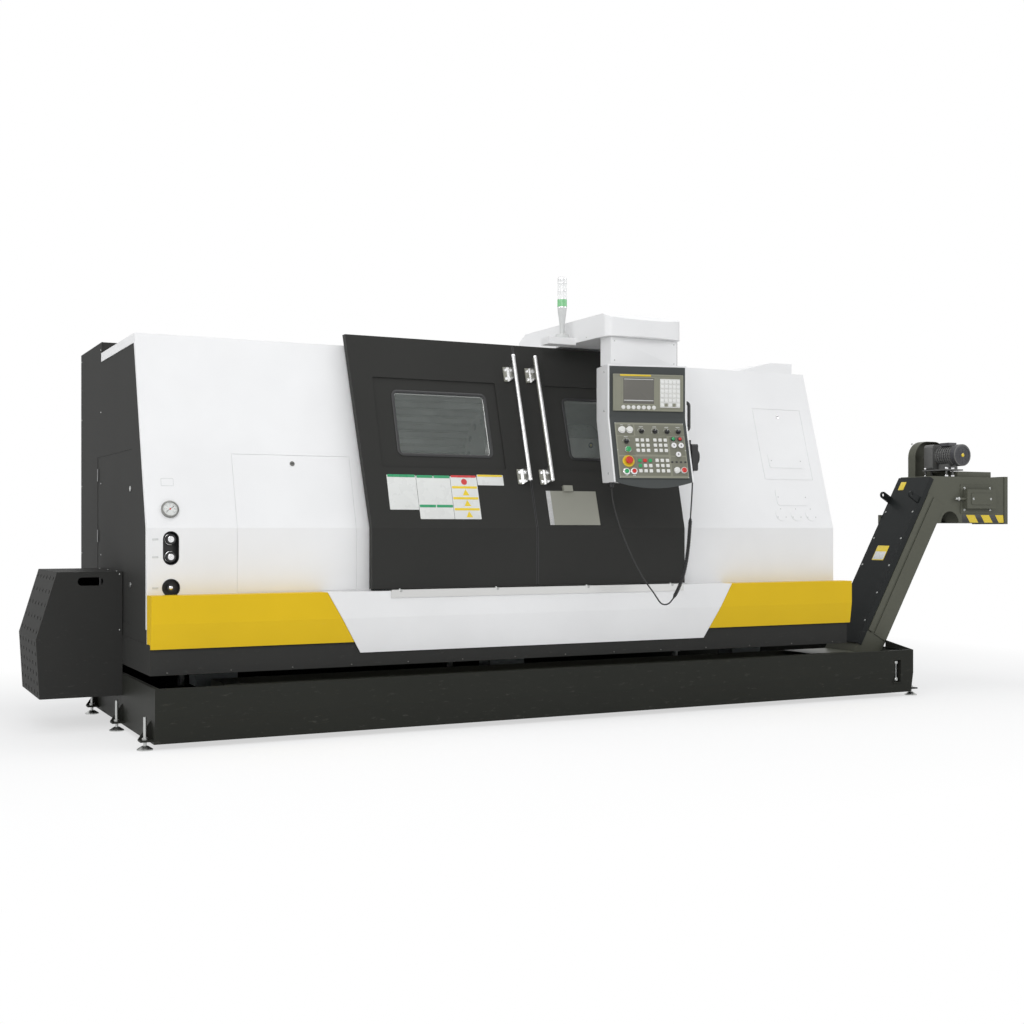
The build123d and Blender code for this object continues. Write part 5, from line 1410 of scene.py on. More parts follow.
@dataclass
class StickerGroup:
    """Plain fields of colour where the left door has its stickers."""

    panels: tuple[tuple[float, float, float, float, str], ...] = (
        (1241, 1238, 164, 192, "light"), (1245, 1325, 156, 15, "green"),
        (1407, 1212, 196, 240, "light"), (1410, 1323, 93, 15, "green"), (1508, 1323, 93, 15, "green"),
        (1410, 1166, 93, 15, "green"), (1508, 1166, 93, 15, "green"),
        (1605, 1212, 156, 240, "light"), (1609, 1327, 148, 12, "red"),
        (1609, 1268, 148, 13, "yellow"), (1609, 1209, 148, 13, "yellow"), (1609, 1150, 148, 13, "yellow"),
        (1764, 1310, 158, 60, "light"), (1768, 1333, 150, 11, "yellow"))
    signs: tuple[Pair, ...] = ((1687.0, 1236.0), (1689.0, 1178.0), (1692.0, 1118.0))
    ring: Pair = (1684.0, 1298.0)

    def build(self, site: Site) -> None:
        """Make thin plates of each colour.

        Args:
            site: The working frame.
        """
        sheets = {"light": Sheet(), "green": Sheet(), "red": Sheet(), "yellow": Sheet()}
        for x, z, width, height, colour in self.panels:
            place = leaning(x + width / 2, z, DOOR_Y)
            lift = 0.0 if colour == "light" else 0.5
            sheets[colour].slab(place.moved(out=lift), width, height, 0.5, 3, 0.2)
        for x, z in self.signs:
            place = leaning(x, z, DOOR_Y).moved(out=0.5)
            tipped = Place(place.origin, place.up, -place.right)
            sheets["yellow"].turned(tipped, [(23, 0), (23, 0.4), (22, 0.5)], 3)
        sheets["red"].turned(leaning(*self.ring, DOOR_Y).moved(out=0.5),
                             [(17, 0), (17, 0.5), (13, 0.5), (13, 0.2)], 28)
        finishes = {"light": Paints.LABEL, "green": Paints.LABEL_GREEN, "red": Paints.LABEL_RED,
                    "yellow": Paints.LABEL_YELLOW}
        for colour, sheet in sheets.items():
            sheet.piece(site, f"sticker_{colour}", finishes[colour], Body.LEFT_DOOR, "grey_plastic")


def make_lock(site: Site, name: str, place: Place, finish: Finish) -> None:
    """Make a round cabinet lock and a dark slab on its face that is painted shade for the key slot.

    Args:
        site: The working frame.
        name: The lock's name.
        place: Where it sits on the panel behind it.
        finish: Finish of its face.
    """
    round_face = Sheet()
    round_face.turned(place.moved(out=3), [(13, -0.4), (13, 0.6), (10, 1.4), (10, 0.6), (2, 0.6)], 28)
    round_face.piece(site, name, finish, Body.MACHINE, "chrome")
    # The dark slab on the lock's face is painted shade standing for the key slot.
    dark = Sheet()
    dark.slab(place.moved(out=3.4), 16, 3.6, 0.7, 1.6, 0.3)
    dark.piece(site, f"{name}_slot", Paints.BLACK, Body.MACHINE, "dark_plastic")


@dataclass
class LeftCabinetTrim:
    """Gauge dial, knob fittings, labels and lock of the left cabinet."""

    service_x: float = 116.0
    gauge_z: float = 1140.0
    knob_z: Pair = (909.0, 995.0)
    valve_z: float = 759.0
    recess: tuple[float, float, float] = (952.0, 78.0, 165.0)
    recess_depth: float = 38.0
    scale_start: float = 225.0
    scale_arc: float = 270.0
    label_x: float = 40.0
    outline: Pair = (112.0, 1275.0)
    lock: Pair = (756.0, 1379.0)

    def in_recess(self, z: float, lift: float) -> Place:
        """Place in front of the floor of the recesses."""
        return facing((self.service_x, CABINET_Y + self.recess_depth - lift, z), FORWARD)

    def dial(self, site: Site) -> None:
        """White dial with ticks and figures behind a clear front.

        Args:
            site: The working frame.
        """
        place = leaning(self.service_x, self.gauge_z, CABINET_Y).moved(out=9.2)
        face = Sheet()
        face.turned(place, [(34.5, 0), (34.5, 0.6), (33, 0.9), (1, 0.9)], 40)
        face.piece(site, "gauge_face", Paints.LABEL, Body.MACHINE, "grey_plastic")
        marks = Sheet()
        for step in range(31):
            angle = self.scale_start - step * self.scale_arc / 30
            long = step % 5 == 0
            mark = place.around(28 if long else 30, angle, 0.9).spun(angle)
            marks.slab(mark, 6 if long else 3.4, 1.1 if long else 0.6, 0.3, 0.2, 0.1)
        for step in range(7):
            spot = place.around(20.5, self.scale_start - step * self.scale_arc / 6, 0.9)
            marks.text(spot, str(step * 2), 5.5, 0.15)
        marks.piece(site, "gauge_marks", Paints.BLACK, Body.MACHINE, "dark_plastic")
        needle = Sheet()
        needle.turned(place.moved(out=0.9), [(4, 0), (4, 1.6), (2.5, 2.2), (0.6, 2.2)], 16)
        needle.piece(site, "gauge_hub", Paints.RED, Body.MACHINE, "red_plastic")

    def recess_fittings(self, site: Site) -> None:
        """Black sheets lining the walls and floors of the recesses as painted shade, and the caps of the
        knobs.

        Args:
            site: The working frame.
        """
        # The black lining of the knob and valve recesses is painted shade for their insides.
        recess_shade = Sheet()
        z, width, height = self.recess
        back = self.in_recess(z, 0.5)
        recess_shade.frame(back, width - 1, height - 1, 2.5, self.recess_depth + 1.2, width / 2 - 0.5)
        recess_shade.slab(back, width - 3, height - 3, 1.0, width / 2 - 2, 0.3)
        brim = self.recess_depth + 1.2
        recess_shade.turned(self.in_recess(self.valve_z, 0.5),
                     [(43.5, 0), (43.5, brim), (41, brim + 0.2), (41, 1.0), (2, 1.0)], 48)
        recess_shade.piece(site, "recess_painted_shade", Paints.BLACK, Body.MACHINE, "dark_plastic")
        caps = Sheet()
        for knob in self.knob_z:
            place = self.in_recess(knob, 38)
            caps.turned(place, [(15, -0.2), (15, 1.2), (12, 2.2), (4, 2.2), (3, 1.2)], 28)
            caps.turned(place.moved(out=-20), [(27.2, 0), (27.2, 3), (26.6, 3.4)], 36)
        caps.turned(self.in_recess(self.valve_z, 34), [(9, -1), (9, 1.5), (6, 3), (2, 3)], 20)
        caps.piece(site, "knob_caps", Paints.CHROME, Body.MACHINE, "chrome")

    def labels(self, site: Site) -> None:
        """Blank labels beside the knobs and the valve, and a blank outline above the gauge.

        Args:
            site: The working frame.
        """
        plates = Sheet()
        for z in (*self.knob_z, self.valve_z):
            plates.slab(facing((self.label_x, CABINET_Y, z), FORWARD), 30, 10, 0.5, 1.5, 0.2)
        plates.frame(leaning(*self.outline, CABINET_Y), 62, 40, 2.2, 0.6, 5)
        plates.piece(site, "blank_labels", Paints.GREY, Body.MACHINE, "grey_plastic")

    def build(self, site: Site) -> None:
        """Make all of the cabinet's trim.

        Args:
            site: The working frame.
        """
        self.dial(site)
        self.recess_fittings(site)
        self.labels(site)
        make_lock(site, "left_lock", leaning(*self.lock, CABINET_Y), Paints.DULL)


@dataclass
class RightCabinetTrim:
    """Screws and lock of the right cabinet's plates."""

    lock: Pair = (3934.0, 1747.0)
    plate: tuple[float, float, float] = (3927.0, 1239.0, 238.0)
    inset: float = 14.0
    discs: tuple[float, ...] = (3824.0, 3938.0, 4052.0)
    disc_z: float = 1133.0
    disc_screws: float = 35.0
    inner: Pair = (3934.0, 1465.0)
    inner_screws: float = 112.0

    def build(self, site: Site) -> None:
        """Make the screws and the lock.

        Args:
            site: The working frame.
        """
        screws = Sheet()
        x, z, width = self.plate
        place = leaning(x, z, CABINET_Y).moved(out=2.5)
        for right in (-width / 2 + self.inset, width / 2 - self.inset):
            screws.pan_screw(place.moved(right=right), 3.5)
        for centre in self.discs:
            disc = leaning(centre, self.disc_z, CABINET_Y).moved(out=2.5)
            for angle in (90, 210, 330):
                screws.pan_screw(disc.around(self.disc_screws, angle), 3.2)
        inner = leaning(*self.inner, CABINET_Y).moved(out=3)
        for right in (-self.inner_screws, self.inner_screws):
            screws.pan_screw(inner.moved(right=right), 3.5)
        screws.piece(site, "right_cabinet_screws", Paints.ZINC, Body.MACHINE, "galvanised")
        make_lock(site, "right_lock", leaning(*self.lock, CABINET_Y), Paints.CHROME)


@dataclass
class BeaconTrim:
    """Rings, cap, foot screws and green band of the signal beacon."""

    x: float = 2345.0
    y: float = 290.0
    radius: float = 27.0
    low: float = 2299.0
    high: float = 2470.0
    collars: tuple[Pair, ...] = ((-3.0, 5.0), (44.0, 2.5), (92.0, 2.5), (136.0, 2.5))
    foot_top: float = 2145.0
    foot_screws: float = 30.0

    def build(self, site: Site) -> None:
        """Make the collars, the cap, the foot's screws and the green band.

        Args:
            site: The working frame.
        """
        base = facing((self.x, self.y, 0), UPWARD, BACKWARD)
        bright = Sheet()
        outer = self.radius
        for rise, height in self.collars:
            ring = [(outer + 0.5, 0), (outer + 0.6, height * 0.3), (outer + 0.6, height * 0.7),
                    (outer + 0.3, height)]
            bright.turned(base.moved(out=self.low + rise), ring, 40)
        bright.turned(base.moved(out=self.high - 14),
                      [(outer + 0.4, 0), (outer + 0.3, 8), (outer - 7, 13.6), (3, 13.8)], 40)
        for turn in range(3):
            bright.cap_screw(base.around(self.foot_screws, 120 * turn, self.foot_top), 3.2, 3)
        bright.piece(site, "beacon_collars", Paints.CHROME, Body.MACHINE, "chrome")
        green = Sheet()
        green.turned(base.moved(out=self.low + 3),
                     [(outer + 0.35, 0), (outer + 0.35, 40), (outer - 1, 40)], 40)
        green.piece(site, "beacon_green", Paints.GREEN_LAMP, Body.MACHINE, "lens")


@dataclass
class BoomTrim:
    """Strip and front cover of the hanging column, and screws of the boom."""

    left: float = 2405.0
    strip: Point = (2872.0, -30.0, 2018.0)
    cover: Point = (2655.5, -85.0, 2019.5)
    cover_size: Pair = (426.0, 146.0)
    cover_depth: float = 3.6
    screw_x: Pair = (2462.0, 2848.0)
    screw_z: Pair = (1966.0, 2072.0)
    side_y: tuple[float, ...] = (120.0, 430.0, 740.0)
    side_z: float = 2112.0

    def build(self, site: Site) -> None:
        """Make the strip beside the column, its front cover and the screws.

        Args:
            site: The working frame.
        """
        dark = Sheet()
        dark.slab(facing(self.strip, RIGHTWARD), 104, 148, 3, 1.5, 0.6)
        dark.piece(site, "column_strip", Paints.BLACK, Body.MACHINE, "dark_plastic")
        skin = Sheet()
        skin.slab(facing(self.cover, FORWARD), *self.cover_size, self.cover_depth, 4, 1.2)
        skin.piece(site, "column_front", Paints.WHITE, Body.MACHINE, "white_paint")
        screws = Sheet()
        for x in self.screw_x:
            for z in self.screw_z:
                screws.pan_screw(facing((x, self.cover[1] - self.cover_depth, z), FORWARD), 4)
        for y in self.side_y:
            screws.pan_screw(facing((self.left, y, self.side_z), LEFTWARD), 4)
        screws.piece(site, "boom_screws", Paints.ZINC, Body.MACHINE, "galvanised")


@dataclass
class PendantTrim:
    """Panels, keys, dials and lamps of the operator's pendant."""

    pendant: PendantFrame = field(default_factory=PendantFrame)
    seam: float = 2.0
    panel: float = 3.0
    grids: tuple[Pair, ...] = ((-75.0, 135.0), (26.0, 134.0), (-72.0, 253.0), (26.0, 252.0))
    key_pitch: Pair = (29.5, 30.0)
    selectors: tuple[tuple[float, float, float, int], ...] = (
        (-137.0, 144.0, 150.0, 11), (-46.0, 84.0, 150.0, 13), (31.0, 84.0, 220.0, 15),
        (100.0, 85.0, 150.0, 9), (165.0, 85.0, 90.0, 5))
    groups: tuple[tuple[float, float, float, float], ...] = (
        (-138, 76, 96, 64), (58, 76, 280, 64), (-138, 168, 96, 108), (4, 164, 184, 108),
        (150, 168, 86, 108), (-138, 285, 96, 110), (4, 285, 184, 110), (150, 285, 86, 110))
    captions: tuple[Pair, ...] = ((-155, 47), (-112, 47), (-152, 339), (-110, 339), (130, 143), (169, 143))
    plain_buttons: tuple[Pair, ...] = ((-155.0, 76.0), (-112.0, 76.0))
    ringed_buttons: tuple[tuple[float, float, str], ...] = (
        (-132.0, 191.0, "green"), (132.0, 310.0, "white"), (172.0, 310.0, "red"))
    lamps: tuple[tuple[float, float, str], ...] = ((130.0, 127.0, "green"), (169.0, 127.0, "red"))
    key_switches: tuple[Pair, ...] = ((129.0, 167.0), (170.0, 167.0), (149.0, 219.0))
    start_and_stop: tuple[Pair, ...] = ((-152.0, 317.0), (-110.0, 315.0))
    stop_at: Pair = (-136.0, 258.0)
    small_fields: int = 4
    small_field: Pair = (112.0, 260.0)
    small_pitch: float = 25.0
    screw_a: Pair = (-190.0, 196.0)
    screw_b: tuple[float, ...] = (36.0, 193.0, 350.0)
    screen_at: Pair = (-53.5, 1796.0)
    keypad_a: float = 126.0
    display_out: float = 12.0

    def face(self, a: float, b: float) -> Place:
        """Place on the lower panel's own face."""
        return self.pendant.lower(a, b, self.seam + self.panel)

    def lower_panel(self, site: Site) -> None:
        """Grey-green field and the darker groups on it.

        Args:
            site: The working frame.
        """
        main_field, raised = Sheet(), Sheet()
        main_field.slab(self.face(3, 193), 392, 320, 0.5, 4, 0.2)
        main_field.piece(site, "panel_field", Paints.PANEL, Body.PENDANT, "dark_plastic")
        for a, b, width, height in self.groups:
            raised.slab(self.face(a, b).moved(out=0.5), width, height, 0.5, 4, 0.2)
        raised.piece(site, "panel_groups", Paints.PANEL_DARK, Body.PENDANT, "dark_plastic")

    def scales(self, site: Site) -> None:
        """Ticks round the selectors and the plain marks that stand for captions.

        Args:
            site: The working frame.
        """
        marks = Sheet()
        for a, b, arc, ticks in self.selectors:
            place = self.face(a, b).moved(out=1.0)
            for tick in range(ticks):
                angle = 90 + arc / 2 - arc * tick / (ticks - 1)
                marks.slab(place.around(20, angle).spun(angle), 3.6, 1.5, 0.25, 0.3, 0.1)
            marks.slab(place.moved(up=27.5), 22, 2.4, 0.25, 0.5, 0.1)
        for a, b in self.captions:
            marks.slab(self.face(a, b).moved(out=1.0), 16, 2.0, 0.25, 0.5, 0.1)
        marks.piece(site, "panel_scales", Paints.LABEL, Body.PENDANT, "grey_plastic")

    def panel_screws(self, site: Site) -> None:
        """Screws down both edges of the lower panel.

        Args:
            site: The working frame.
        """
        screws = Sheet()
        for a in self.screw_a:
            for b in self.screw_b:
                screws.pan_screw(self.face(a, b).moved(out=0.5), 2.6)
        screws.piece(site, "panel_screws", Paints.ZINC, Body.PENDANT, "galvanised")

    def key_caps(self, site: Site) -> None:
        """Coloured caps over the plain key solids.

        Args:
            site: The working frame.
        """
        colours = {"green": Sheet(), "red": Sheet(), "white": Sheet()}
        special = {(2, 0, 0): "green", (2, 0, 1): "red", (2, 0, 2): "green", (2, 1, 0): "green"}
        for grid, (a0, b0) in enumerate(self.grids):
            for row in range(3):
                for column in range(3):
                    kind = special.get((grid, row, column), "white")
                    place = self.face(a0 + column * self.key_pitch[0], b0 + row * self.key_pitch[1])
                    colours[kind].slab(place.moved(out=1.0), 18.5, 18.5, 4.2, 3, 1.2)
        for colour, finish in (("green", Paints.GREEN), ("red", Paints.RED), ("white", Paints.IVORY)):
            slot = {"green": "green_plastic", "red": "red_plastic", "white": "key_plastic"}[colour]
            colours[colour].piece(site, f"key_caps_{colour}", finish, Body.PENDANT, slot)

    def push_buttons(self, sheets: dict[str, Sheet]) -> None:
        """Rings and caps of the push buttons.

        Args:
            sheets: Where the mesh of each finish is collected.
        """
        for a, b in self.plain_buttons:
            place = self.face(a, b).moved(out=1.0)
            sheets["rings"].turned(place, [(20, 0), (20, 3), (18, 5), (17.2, 5)], 32)
            sheets["white"].turned(place.moved(out=4), [(17.6, 0), (17.6, 7), (15, 10), (3, 11)], 32)
        for a, b, colour in self.ringed_buttons:
            place = self.face(a, b).moved(out=1.0)
            sheets["rings"].turned(place, [(19, 0), (19, 4), (17, 7), (15, 7), (14.6, 4)], 32)
            sheets[colour].turned(place.moved(out=5), [(15, 0), (15, 8), (12, 10.2), (2, 10.8)], 32)

    def lamps_and_switches(self, sheets: dict[str, Sheet]) -> None:
        """Lamps, key switches with painted shade in their slots, start and stop button rings, a row of small
        dark fields.

        Args:
            sheets: Where the mesh of each finish is collected.
        """
        for a, b, colour in self.lamps:
            place = self.face(a, b).moved(out=1.0)
            sheets["dark"].turned(place, [(12.5, 0), (12.5, 5), (11, 6.5), (9.4, 6.5)], 28)
            sheets[colour].turned(place.moved(out=4), [(9.4, 0), (9.2, 5), (6, 8), (1, 9)], 24)
        for a, b in self.key_switches:
            place = self.face(a, b).moved(out=1.0)
            sheets["rings"].turned(
                place, [(16.5, 0), (16.5, 9), (14.8, 12), (14.5, 12), (5, 12.4), (4, 11)], 32)
            # This dark slab is painted shade standing for the key switch's slot.
            sheets["dark"].slab(place.moved(out=11.9), 2.4, 12, 0.8, 0.8, 0.2)
        for a, b in self.start_and_stop:
            place = self.face(a, b).moved(out=1.0)
            sheets["rings"].turned(place, [(19.5, 0), (19.5, 4), (17, 6.6), (16.2, 6.6)], 32)
        for step in range(self.small_fields):
            place = self.face(self.small_field[0] + step * self.small_pitch, self.small_field[1])
            sheets["dark"].slab(place.moved(out=1.0), 12, 9, 1.6, 1.5, 0.5)

    def round_controls(self, site: Site) -> None:
        """All round controls, gathered by finish, and the ring round the emergency stop."""
        sheets = {key: Sheet() for key in ("rings", "white", "green", "red", "dark")}
        self.push_buttons(sheets)
        self.lamps_and_switches(sheets)
        for key, name, finish, slot in (("rings", "control_rings", Paints.CHROME, "chrome"),
                                        ("white", "control_caps_white", Paints.IVORY, "key_plastic"),
                                        ("green", "control_caps_green", Paints.GREEN, "green_plastic"),
                                        ("red", "control_caps_red", Paints.RED, "red_plastic"),
                                        ("dark", "control_collars_and_slot_shade", Paints.BLACK, "dark_plastic")):
            sheets[key].piece(site, name, finish, Body.PENDANT, slot)
        ring = Sheet()
        ring.turned(self.face(*self.stop_at).moved(out=1.0),
                    [(33, 0), (33, 4), (31, 6.4), (23, 6.6), (22, 6)], 40)
        ring.piece(site, "stop_ring", Paints.YELLOW_PLASTIC, Body.PENDANT, "dark_plastic")

    def selector_pointers(self, site: Site) -> None:
        """White pointers on the selector knobs.

        Args:
            site: The working frame.
        """
        bodies = (Body.OVERRIDE, Body.MODE, Body.FEED, Body.RAPID, Body.SPINDLE_SELECTOR)
        for body, (a, b, _arc, _ticks) in zip(bodies, self.selectors):
            pointer = Sheet()
            place = self.face(a, b).moved(out=16.0, up=6.5)
            pointer.slab(place, 1.6, 9, 0.5, 0.6, 0.2)
            pointer.piece(site, f"{body.value}_pointer", Paints.LABEL, body, "grey_plastic")

    def display(self, site: Site) -> None:
        """Frames, screen with its two plain bars, and the plain yellow strip above.

        Args:
            site: The working frame.
        """
        front = self.display_out
        a, z = self.screen_at
        bezel = Sheet()
        bezel.frame(self.pendant.upper(2, 1787, front), 400, 200, 9, 2.2, 6)
        bezel.frame(self.pendant.upper(a, z, front), 192, 156, 8, 2.0, 5)
        bezel.frame(self.pendant.upper(self.keypad_a, 1787, front), 124, 166, 5, 1.6, 4)
        bezel.piece(site, "display_frames", Paints.PANEL, Body.PENDANT, "dark_plastic")
        screen = Sheet()
        screen.slab(self.pendant.upper(a, z, front), 174, 137, 0.8, 2, 0.3)
        screen.piece(site, "screen_glass", Paints.SCREEN, Body.PENDANT, "glass")
        bars = Sheet()
        for rise, height in ((-52, 4), (63, 3)):
            bars.slab(self.pendant.upper(a, z + rise, front + 0.8), 168, height, 0.3, 0.6, 0.1)
        bars.piece(site, "screen_bars", Paints.GREY, Body.PENDANT, "grey_plastic")
        strip = Sheet()
        strip.slab(self.pendant.upper(-72, 1880, front + 2.0), 176, 9, 1.0, 1.5, 0.4)
        strip.piece(site, "display_strip", Paints.YELLOW_PLASTIC, Body.PENDANT, "dark_plastic")

    def display_keys(self, site: Site) -> None:
        """Soft keys under the screen and the keypad beside it.

        Args:
            site: The working frame.
        """
        front = self.display_out
        keys = Sheet()
        for key in range(7):
            keys.turned(self.pendant.upper(-141 + key * 29, 1706, front),
                        [(11.5, 0), (11.5, 2), (10, 4.4), (8.5, 5), (2, 5.2)], 24)
        keys.piece(site, "soft_keys", Paints.IVORY, Body.PENDANT, "key_plastic")
        pad = Sheet()
        pad.slab(self.pendant.upper(self.keypad_a, 1785, front), 116, 158, 1.6, 4, 0.5)
        pad.piece(site, "keypad_plate", Paints.IVORY, Body.PENDANT, "key_plastic")
        grid = Sheet()
        spots = [(column, row) for row in range(6) for column in range(5)]
        for column, row in spots:
            if (column, row) not in ((1, 0), (3, 0)):
                place = self.pendant.upper(80 + column * 23, 1722 + row * 25, front + 1.6)
                grid.slab(place, 18, 18, 2.6, 2.5, 0.9)
        grid.piece(site, "keypad_keys", Paints.KEY_FACE, Body.PENDANT, "key_plastic")

    def housing_trim(self, site: Site) -> None:
        """Screws down the left side and the feet of the grab handle.

        Args:
            site: The working frame.
        """
        screws = Sheet()
        left = self.pendant.direction(-1, 0, 0)
        for y, z in ((-60, 1905), (-60, 1690), (-140, 1345)):
            point = self.pendant.world(-225.5, y, z)
            screws.cap_screw(facing(tuple(point), tuple(left)), 4.5, 3)
        right = self.pendant.direction(1, 0, 0)
        for z in (1590, 1745):
            point = self.pendant.world(225.5, -69, z)
            screws.turned(facing(tuple(point), tuple(right)), [(15, 0), (15, 3), (12, 6), (9.5, 7)], 24)
        screws.piece(site, "pendant_screws", Paints.ZINC, Body.PENDANT, "galvanised")

    def build(self, site: Site) -> None:
        """Make all of the pendant's detail.

        Args:
            site: The working frame.
        """
        self.lower_panel(site)
        self.scales(site)
        self.panel_screws(site)
        self.key_caps(site)
        self.round_controls(site)
        self.selector_pointers(site)
        self.display(site)
        self.display_keys(site)
        self.housing_trim(site)


@dataclass
class ConveyorTrim:
    """Screws, stripes, plates and motor detail of the chip conveyor."""

    bend: float = 4545.0
    bottom: float = 69.0
    angle: float = 60.0
    thick: float = 200.0
    y0: float = 250.0
    width: float = 280.0
    head_top: float = 1390.0
    head_bottom: float = 1082.0
    drive: Pair = (5330.0, 1532.0)
    sign_run: float = 825.0
    sign_y: float = 143.0
    tag_run: float = 1335.0
    tag_y: float = 218.0
    screws: int = 5
    screw_inset: float = 14.0
    screw_start: float = 335.0
    screw_pitch: float = 200.0
    stripe_pitch: float = 131.0
    stripe_width: float = 75.0
    stripe_shift: float = 35.0
    shaft: Pair = (5487.0, 1243.0)
    guard_y: float = 598.0
    stripe_x: Pair = (5352.0, 5728.0)
    fin_radius: float = 62.0
    fins: int = 22

    def incline(self, run: float, out: float, y: float) -> Vector:
        """A point up the incline and out from its underside.

        Args:
            run: Distance up the incline.
            out: Distance out from the underside.
            y: Distance back.

        Returns:
            The point in the working frame, in millimetres.
        """
        rise = math.radians(self.angle)
        return Vector((self.bend + run * math.cos(rise) - out * math.sin(rise), y,
                       self.bottom + run * math.sin(rise) + out * math.cos(rise)))

    def on_cover(self, run: float, y: float) -> Place:
        """Place on top of the cover, with up along the incline.

        Args:
            run: Distance up the incline.
            y: Distance back.

        Returns:
            The place.
        """
        rise = math.radians(self.angle)
        along = Vector((math.cos(rise), 0, math.sin(rise)))
        out = Vector((-math.sin(rise), 0, math.cos(rise)))
        return Place(self.incline(run, self.thick + 8, y), along.cross(out), along)

    def cover(self, site: Site) -> None:
        """Screws down both edges of the cover and its blank plates.

        Args:
            site: The working frame.
        """
        screws = Sheet()
        for index in range(self.screws):
            run = self.screw_start + index * self.screw_pitch
            for y in (self.y0 + self.screw_inset, self.y0 + self.width - self.screw_inset):
                screws.cap_screw(self.on_cover(run, y), 4.5, 3.5)
        screws.piece(site, "cover_screws", Paints.ZINC, Body.MACHINE, "galvanised")
        plate = Sheet()
        plate.slab(self.on_cover(self.sign_run, self.y0 + self.sign_y), 108, 108, 0.8, 3, 0.3)
        plate.slab(self.on_cover(self.tag_run, self.y0 + self.tag_y), 50, 62, 0.8, 3, 0.3)
        plate.piece(site, "cover_plates", Paints.LABEL_YELLOW, Body.MACHINE, "grey_plastic")
        pale = Sheet()
        place = self.on_cover(self.sign_run, self.y0 + self.sign_y).moved(up=-19, out=0.8)
        pale.slab(place, 98, 58, 0.3, 2, 0.1)
        pale.piece(site, "cover_plate_field", Paints.LABEL, Body.MACHINE, "grey_plastic")

    def stripes(self, site: Site) -> None:
        """Yellow slanted stripes on a dark ground along the lower edge of the head.

        Args:
            site: The working frame.
        """
        yellow, dark = Sheet(), Sheet()
        low, high = self.head_bottom + 4, self.head_bottom + 55
        left, right = self.stripe_x
        base = facing((0, self.y0, 0), FORWARD)
        middle = base.moved(right=(left + right) / 2, up=(low + high) / 2)
        dark.slab(middle, right - left, high - low, 0.5, 1, 0.2)
        for index in range(3):
            x = left + 33 + index * self.stripe_pitch
            foot = x + self.stripe_shift
            corners = [(foot, low), (min(foot + self.stripe_width, right), low),
                       (min(x + self.stripe_width, right), high), (x, high)]
            lower = [Vector((cx, cz, 0.5)) for cx, cz in corners]
            upper = [Vector((cx, cz, 0.9)) for cx, cz in corners]
            yellow.rings([lower, upper], base.matrix())
        dark.piece(site, "head_stripe_ground", Paints.BLACK, Body.MACHINE, "dark_plastic")
        yellow.piece(site, "head_stripes", Paints.LABEL_YELLOW, Body.MACHINE, "grey_plastic")

    def head(self, site: Site) -> None:
        """Bolts of the tensioner plate, flange and chain guard.

        Args:
            site: The working frame.
        """
        bolts = Sheet()
        x, z = self.shaft
        for dx, dz in ((-120, 72), (-120, -72), (110, 72), (110, -72)):
            bolts.cap_screw(facing((x + dx, self.y0 - 4, z + dz), FORWARD), 5.5, 5)
        for dx, dz in ((-78, 0), (78, 0)):
            bolts.cap_screw(facing((x + dx, self.y0 - 44, z + dz), FORWARD), 5, 4)
        stud = facing((x - 218, self.y0 - 22, z), RIGHTWARD)
        bolts.turned(stud, [(7, 0), (7, 20), (13, 20), (13, 32), (7, 32), (7, 90)], 6)
        for dx, dz in ((-90, 90), (95, 60), (-80, -230), (80, -180)):
            bolts.cap_screw(facing((self.drive[0] + dx, self.guard_y, self.drive[1] + dz), BACKWARD), 5, 4)
        bolts.piece(site, "head_bolts", Paints.ZINC, Body.MACHINE, "galvanised")

    def motor(self, site: Site) -> None:
        """Fan cowl with its grille, and the cowl's hub, of the geared motor.

        Args:
            site: The working frame.
        """
        x, z = self.drive
        front = facing((x, self.y0 - 25, z), FORWARD)
        cowl = Sheet()
        cowl.turned(front.moved(out=-38),
                    [(72.5, 0), (72.5, 30), (70, 37), (62, 40.4), (57, 40.4), (57, 38.6)], 48)
        for ring in range(4):
            outer, inner = 19.6 + ring * 11.5, 16.4 + ring * 11.5
            cowl.turned(front.moved(out=0.4), [(outer, 0), (outer, 2), (inner, 2), (inner, 0)], 40)
        for spoke in range(8):
            angle = 45 * spoke
            cowl.slab(front.around(34, angle, 0.3).spun(angle), 46, 3, 2, 1, 0.4)
        cowl.piece(site, "motor_cowl", Paints.MOTOR, Body.MACHINE, "aluminium")
        hub = Sheet()
        hub.turned(front.moved(out=0.5), [(12, 0), (12, 2.6), (9, 3.4), (2, 3.4)], 28)
        hub.piece(site, "motor_hub", Paints.LABEL_YELLOW, Body.MACHINE, "grey_plastic")

    def motor_body(self, site: Site) -> None:
        """Fins and terminal box of the geared motor, and the nuts on its studs.

        Args:
            site: The working frame.
        """
        x, z = self.drive
        fins = Sheet()
        for fin in range(self.fins):
            angle = math.radians(fin * 360 / self.fins)
            out = (math.cos(angle), 0.0, math.sin(angle))
            foot = (x + self.fin_radius * out[0], self.y0 + 92, z + self.fin_radius * out[2])
            fins.slab(facing(foot, out, BACKWARD).moved(out=-6), 2.6, 140, 12, 0.8, 0.5)
        fins.slab(facing((x - 10, self.y0 + 95, z + 64), UPWARD, BACKWARD), 70, 86, 22, 5, 2)
        fins.piece(site, "motor_fins", Paints.MOTOR, Body.MACHINE, "aluminium")
        nuts = Sheet()
        for nut_x in (x - 75, x - 20):
            for y in (self.y0 + 45, self.y0 + 236):
                for low in (self.head_top + 2, self.head_top + 52):
                    nuts.turned(facing((nut_x, y, low), UPWARD, BACKWARD), [(12, 0), (12, 9), (10, 11)], 6)
        nuts.piece(site, "motor_nuts", Paints.CHROME, Body.MACHINE, "chrome")

    def build(self, site: Site) -> None:
        """Make all of the conveyor's detail.

        Args:
            site: The working frame.
        """
        self.cover(site)
        self.stripes(site)
        self.head(site)
        self.motor(site)
        self.motor_body(site)


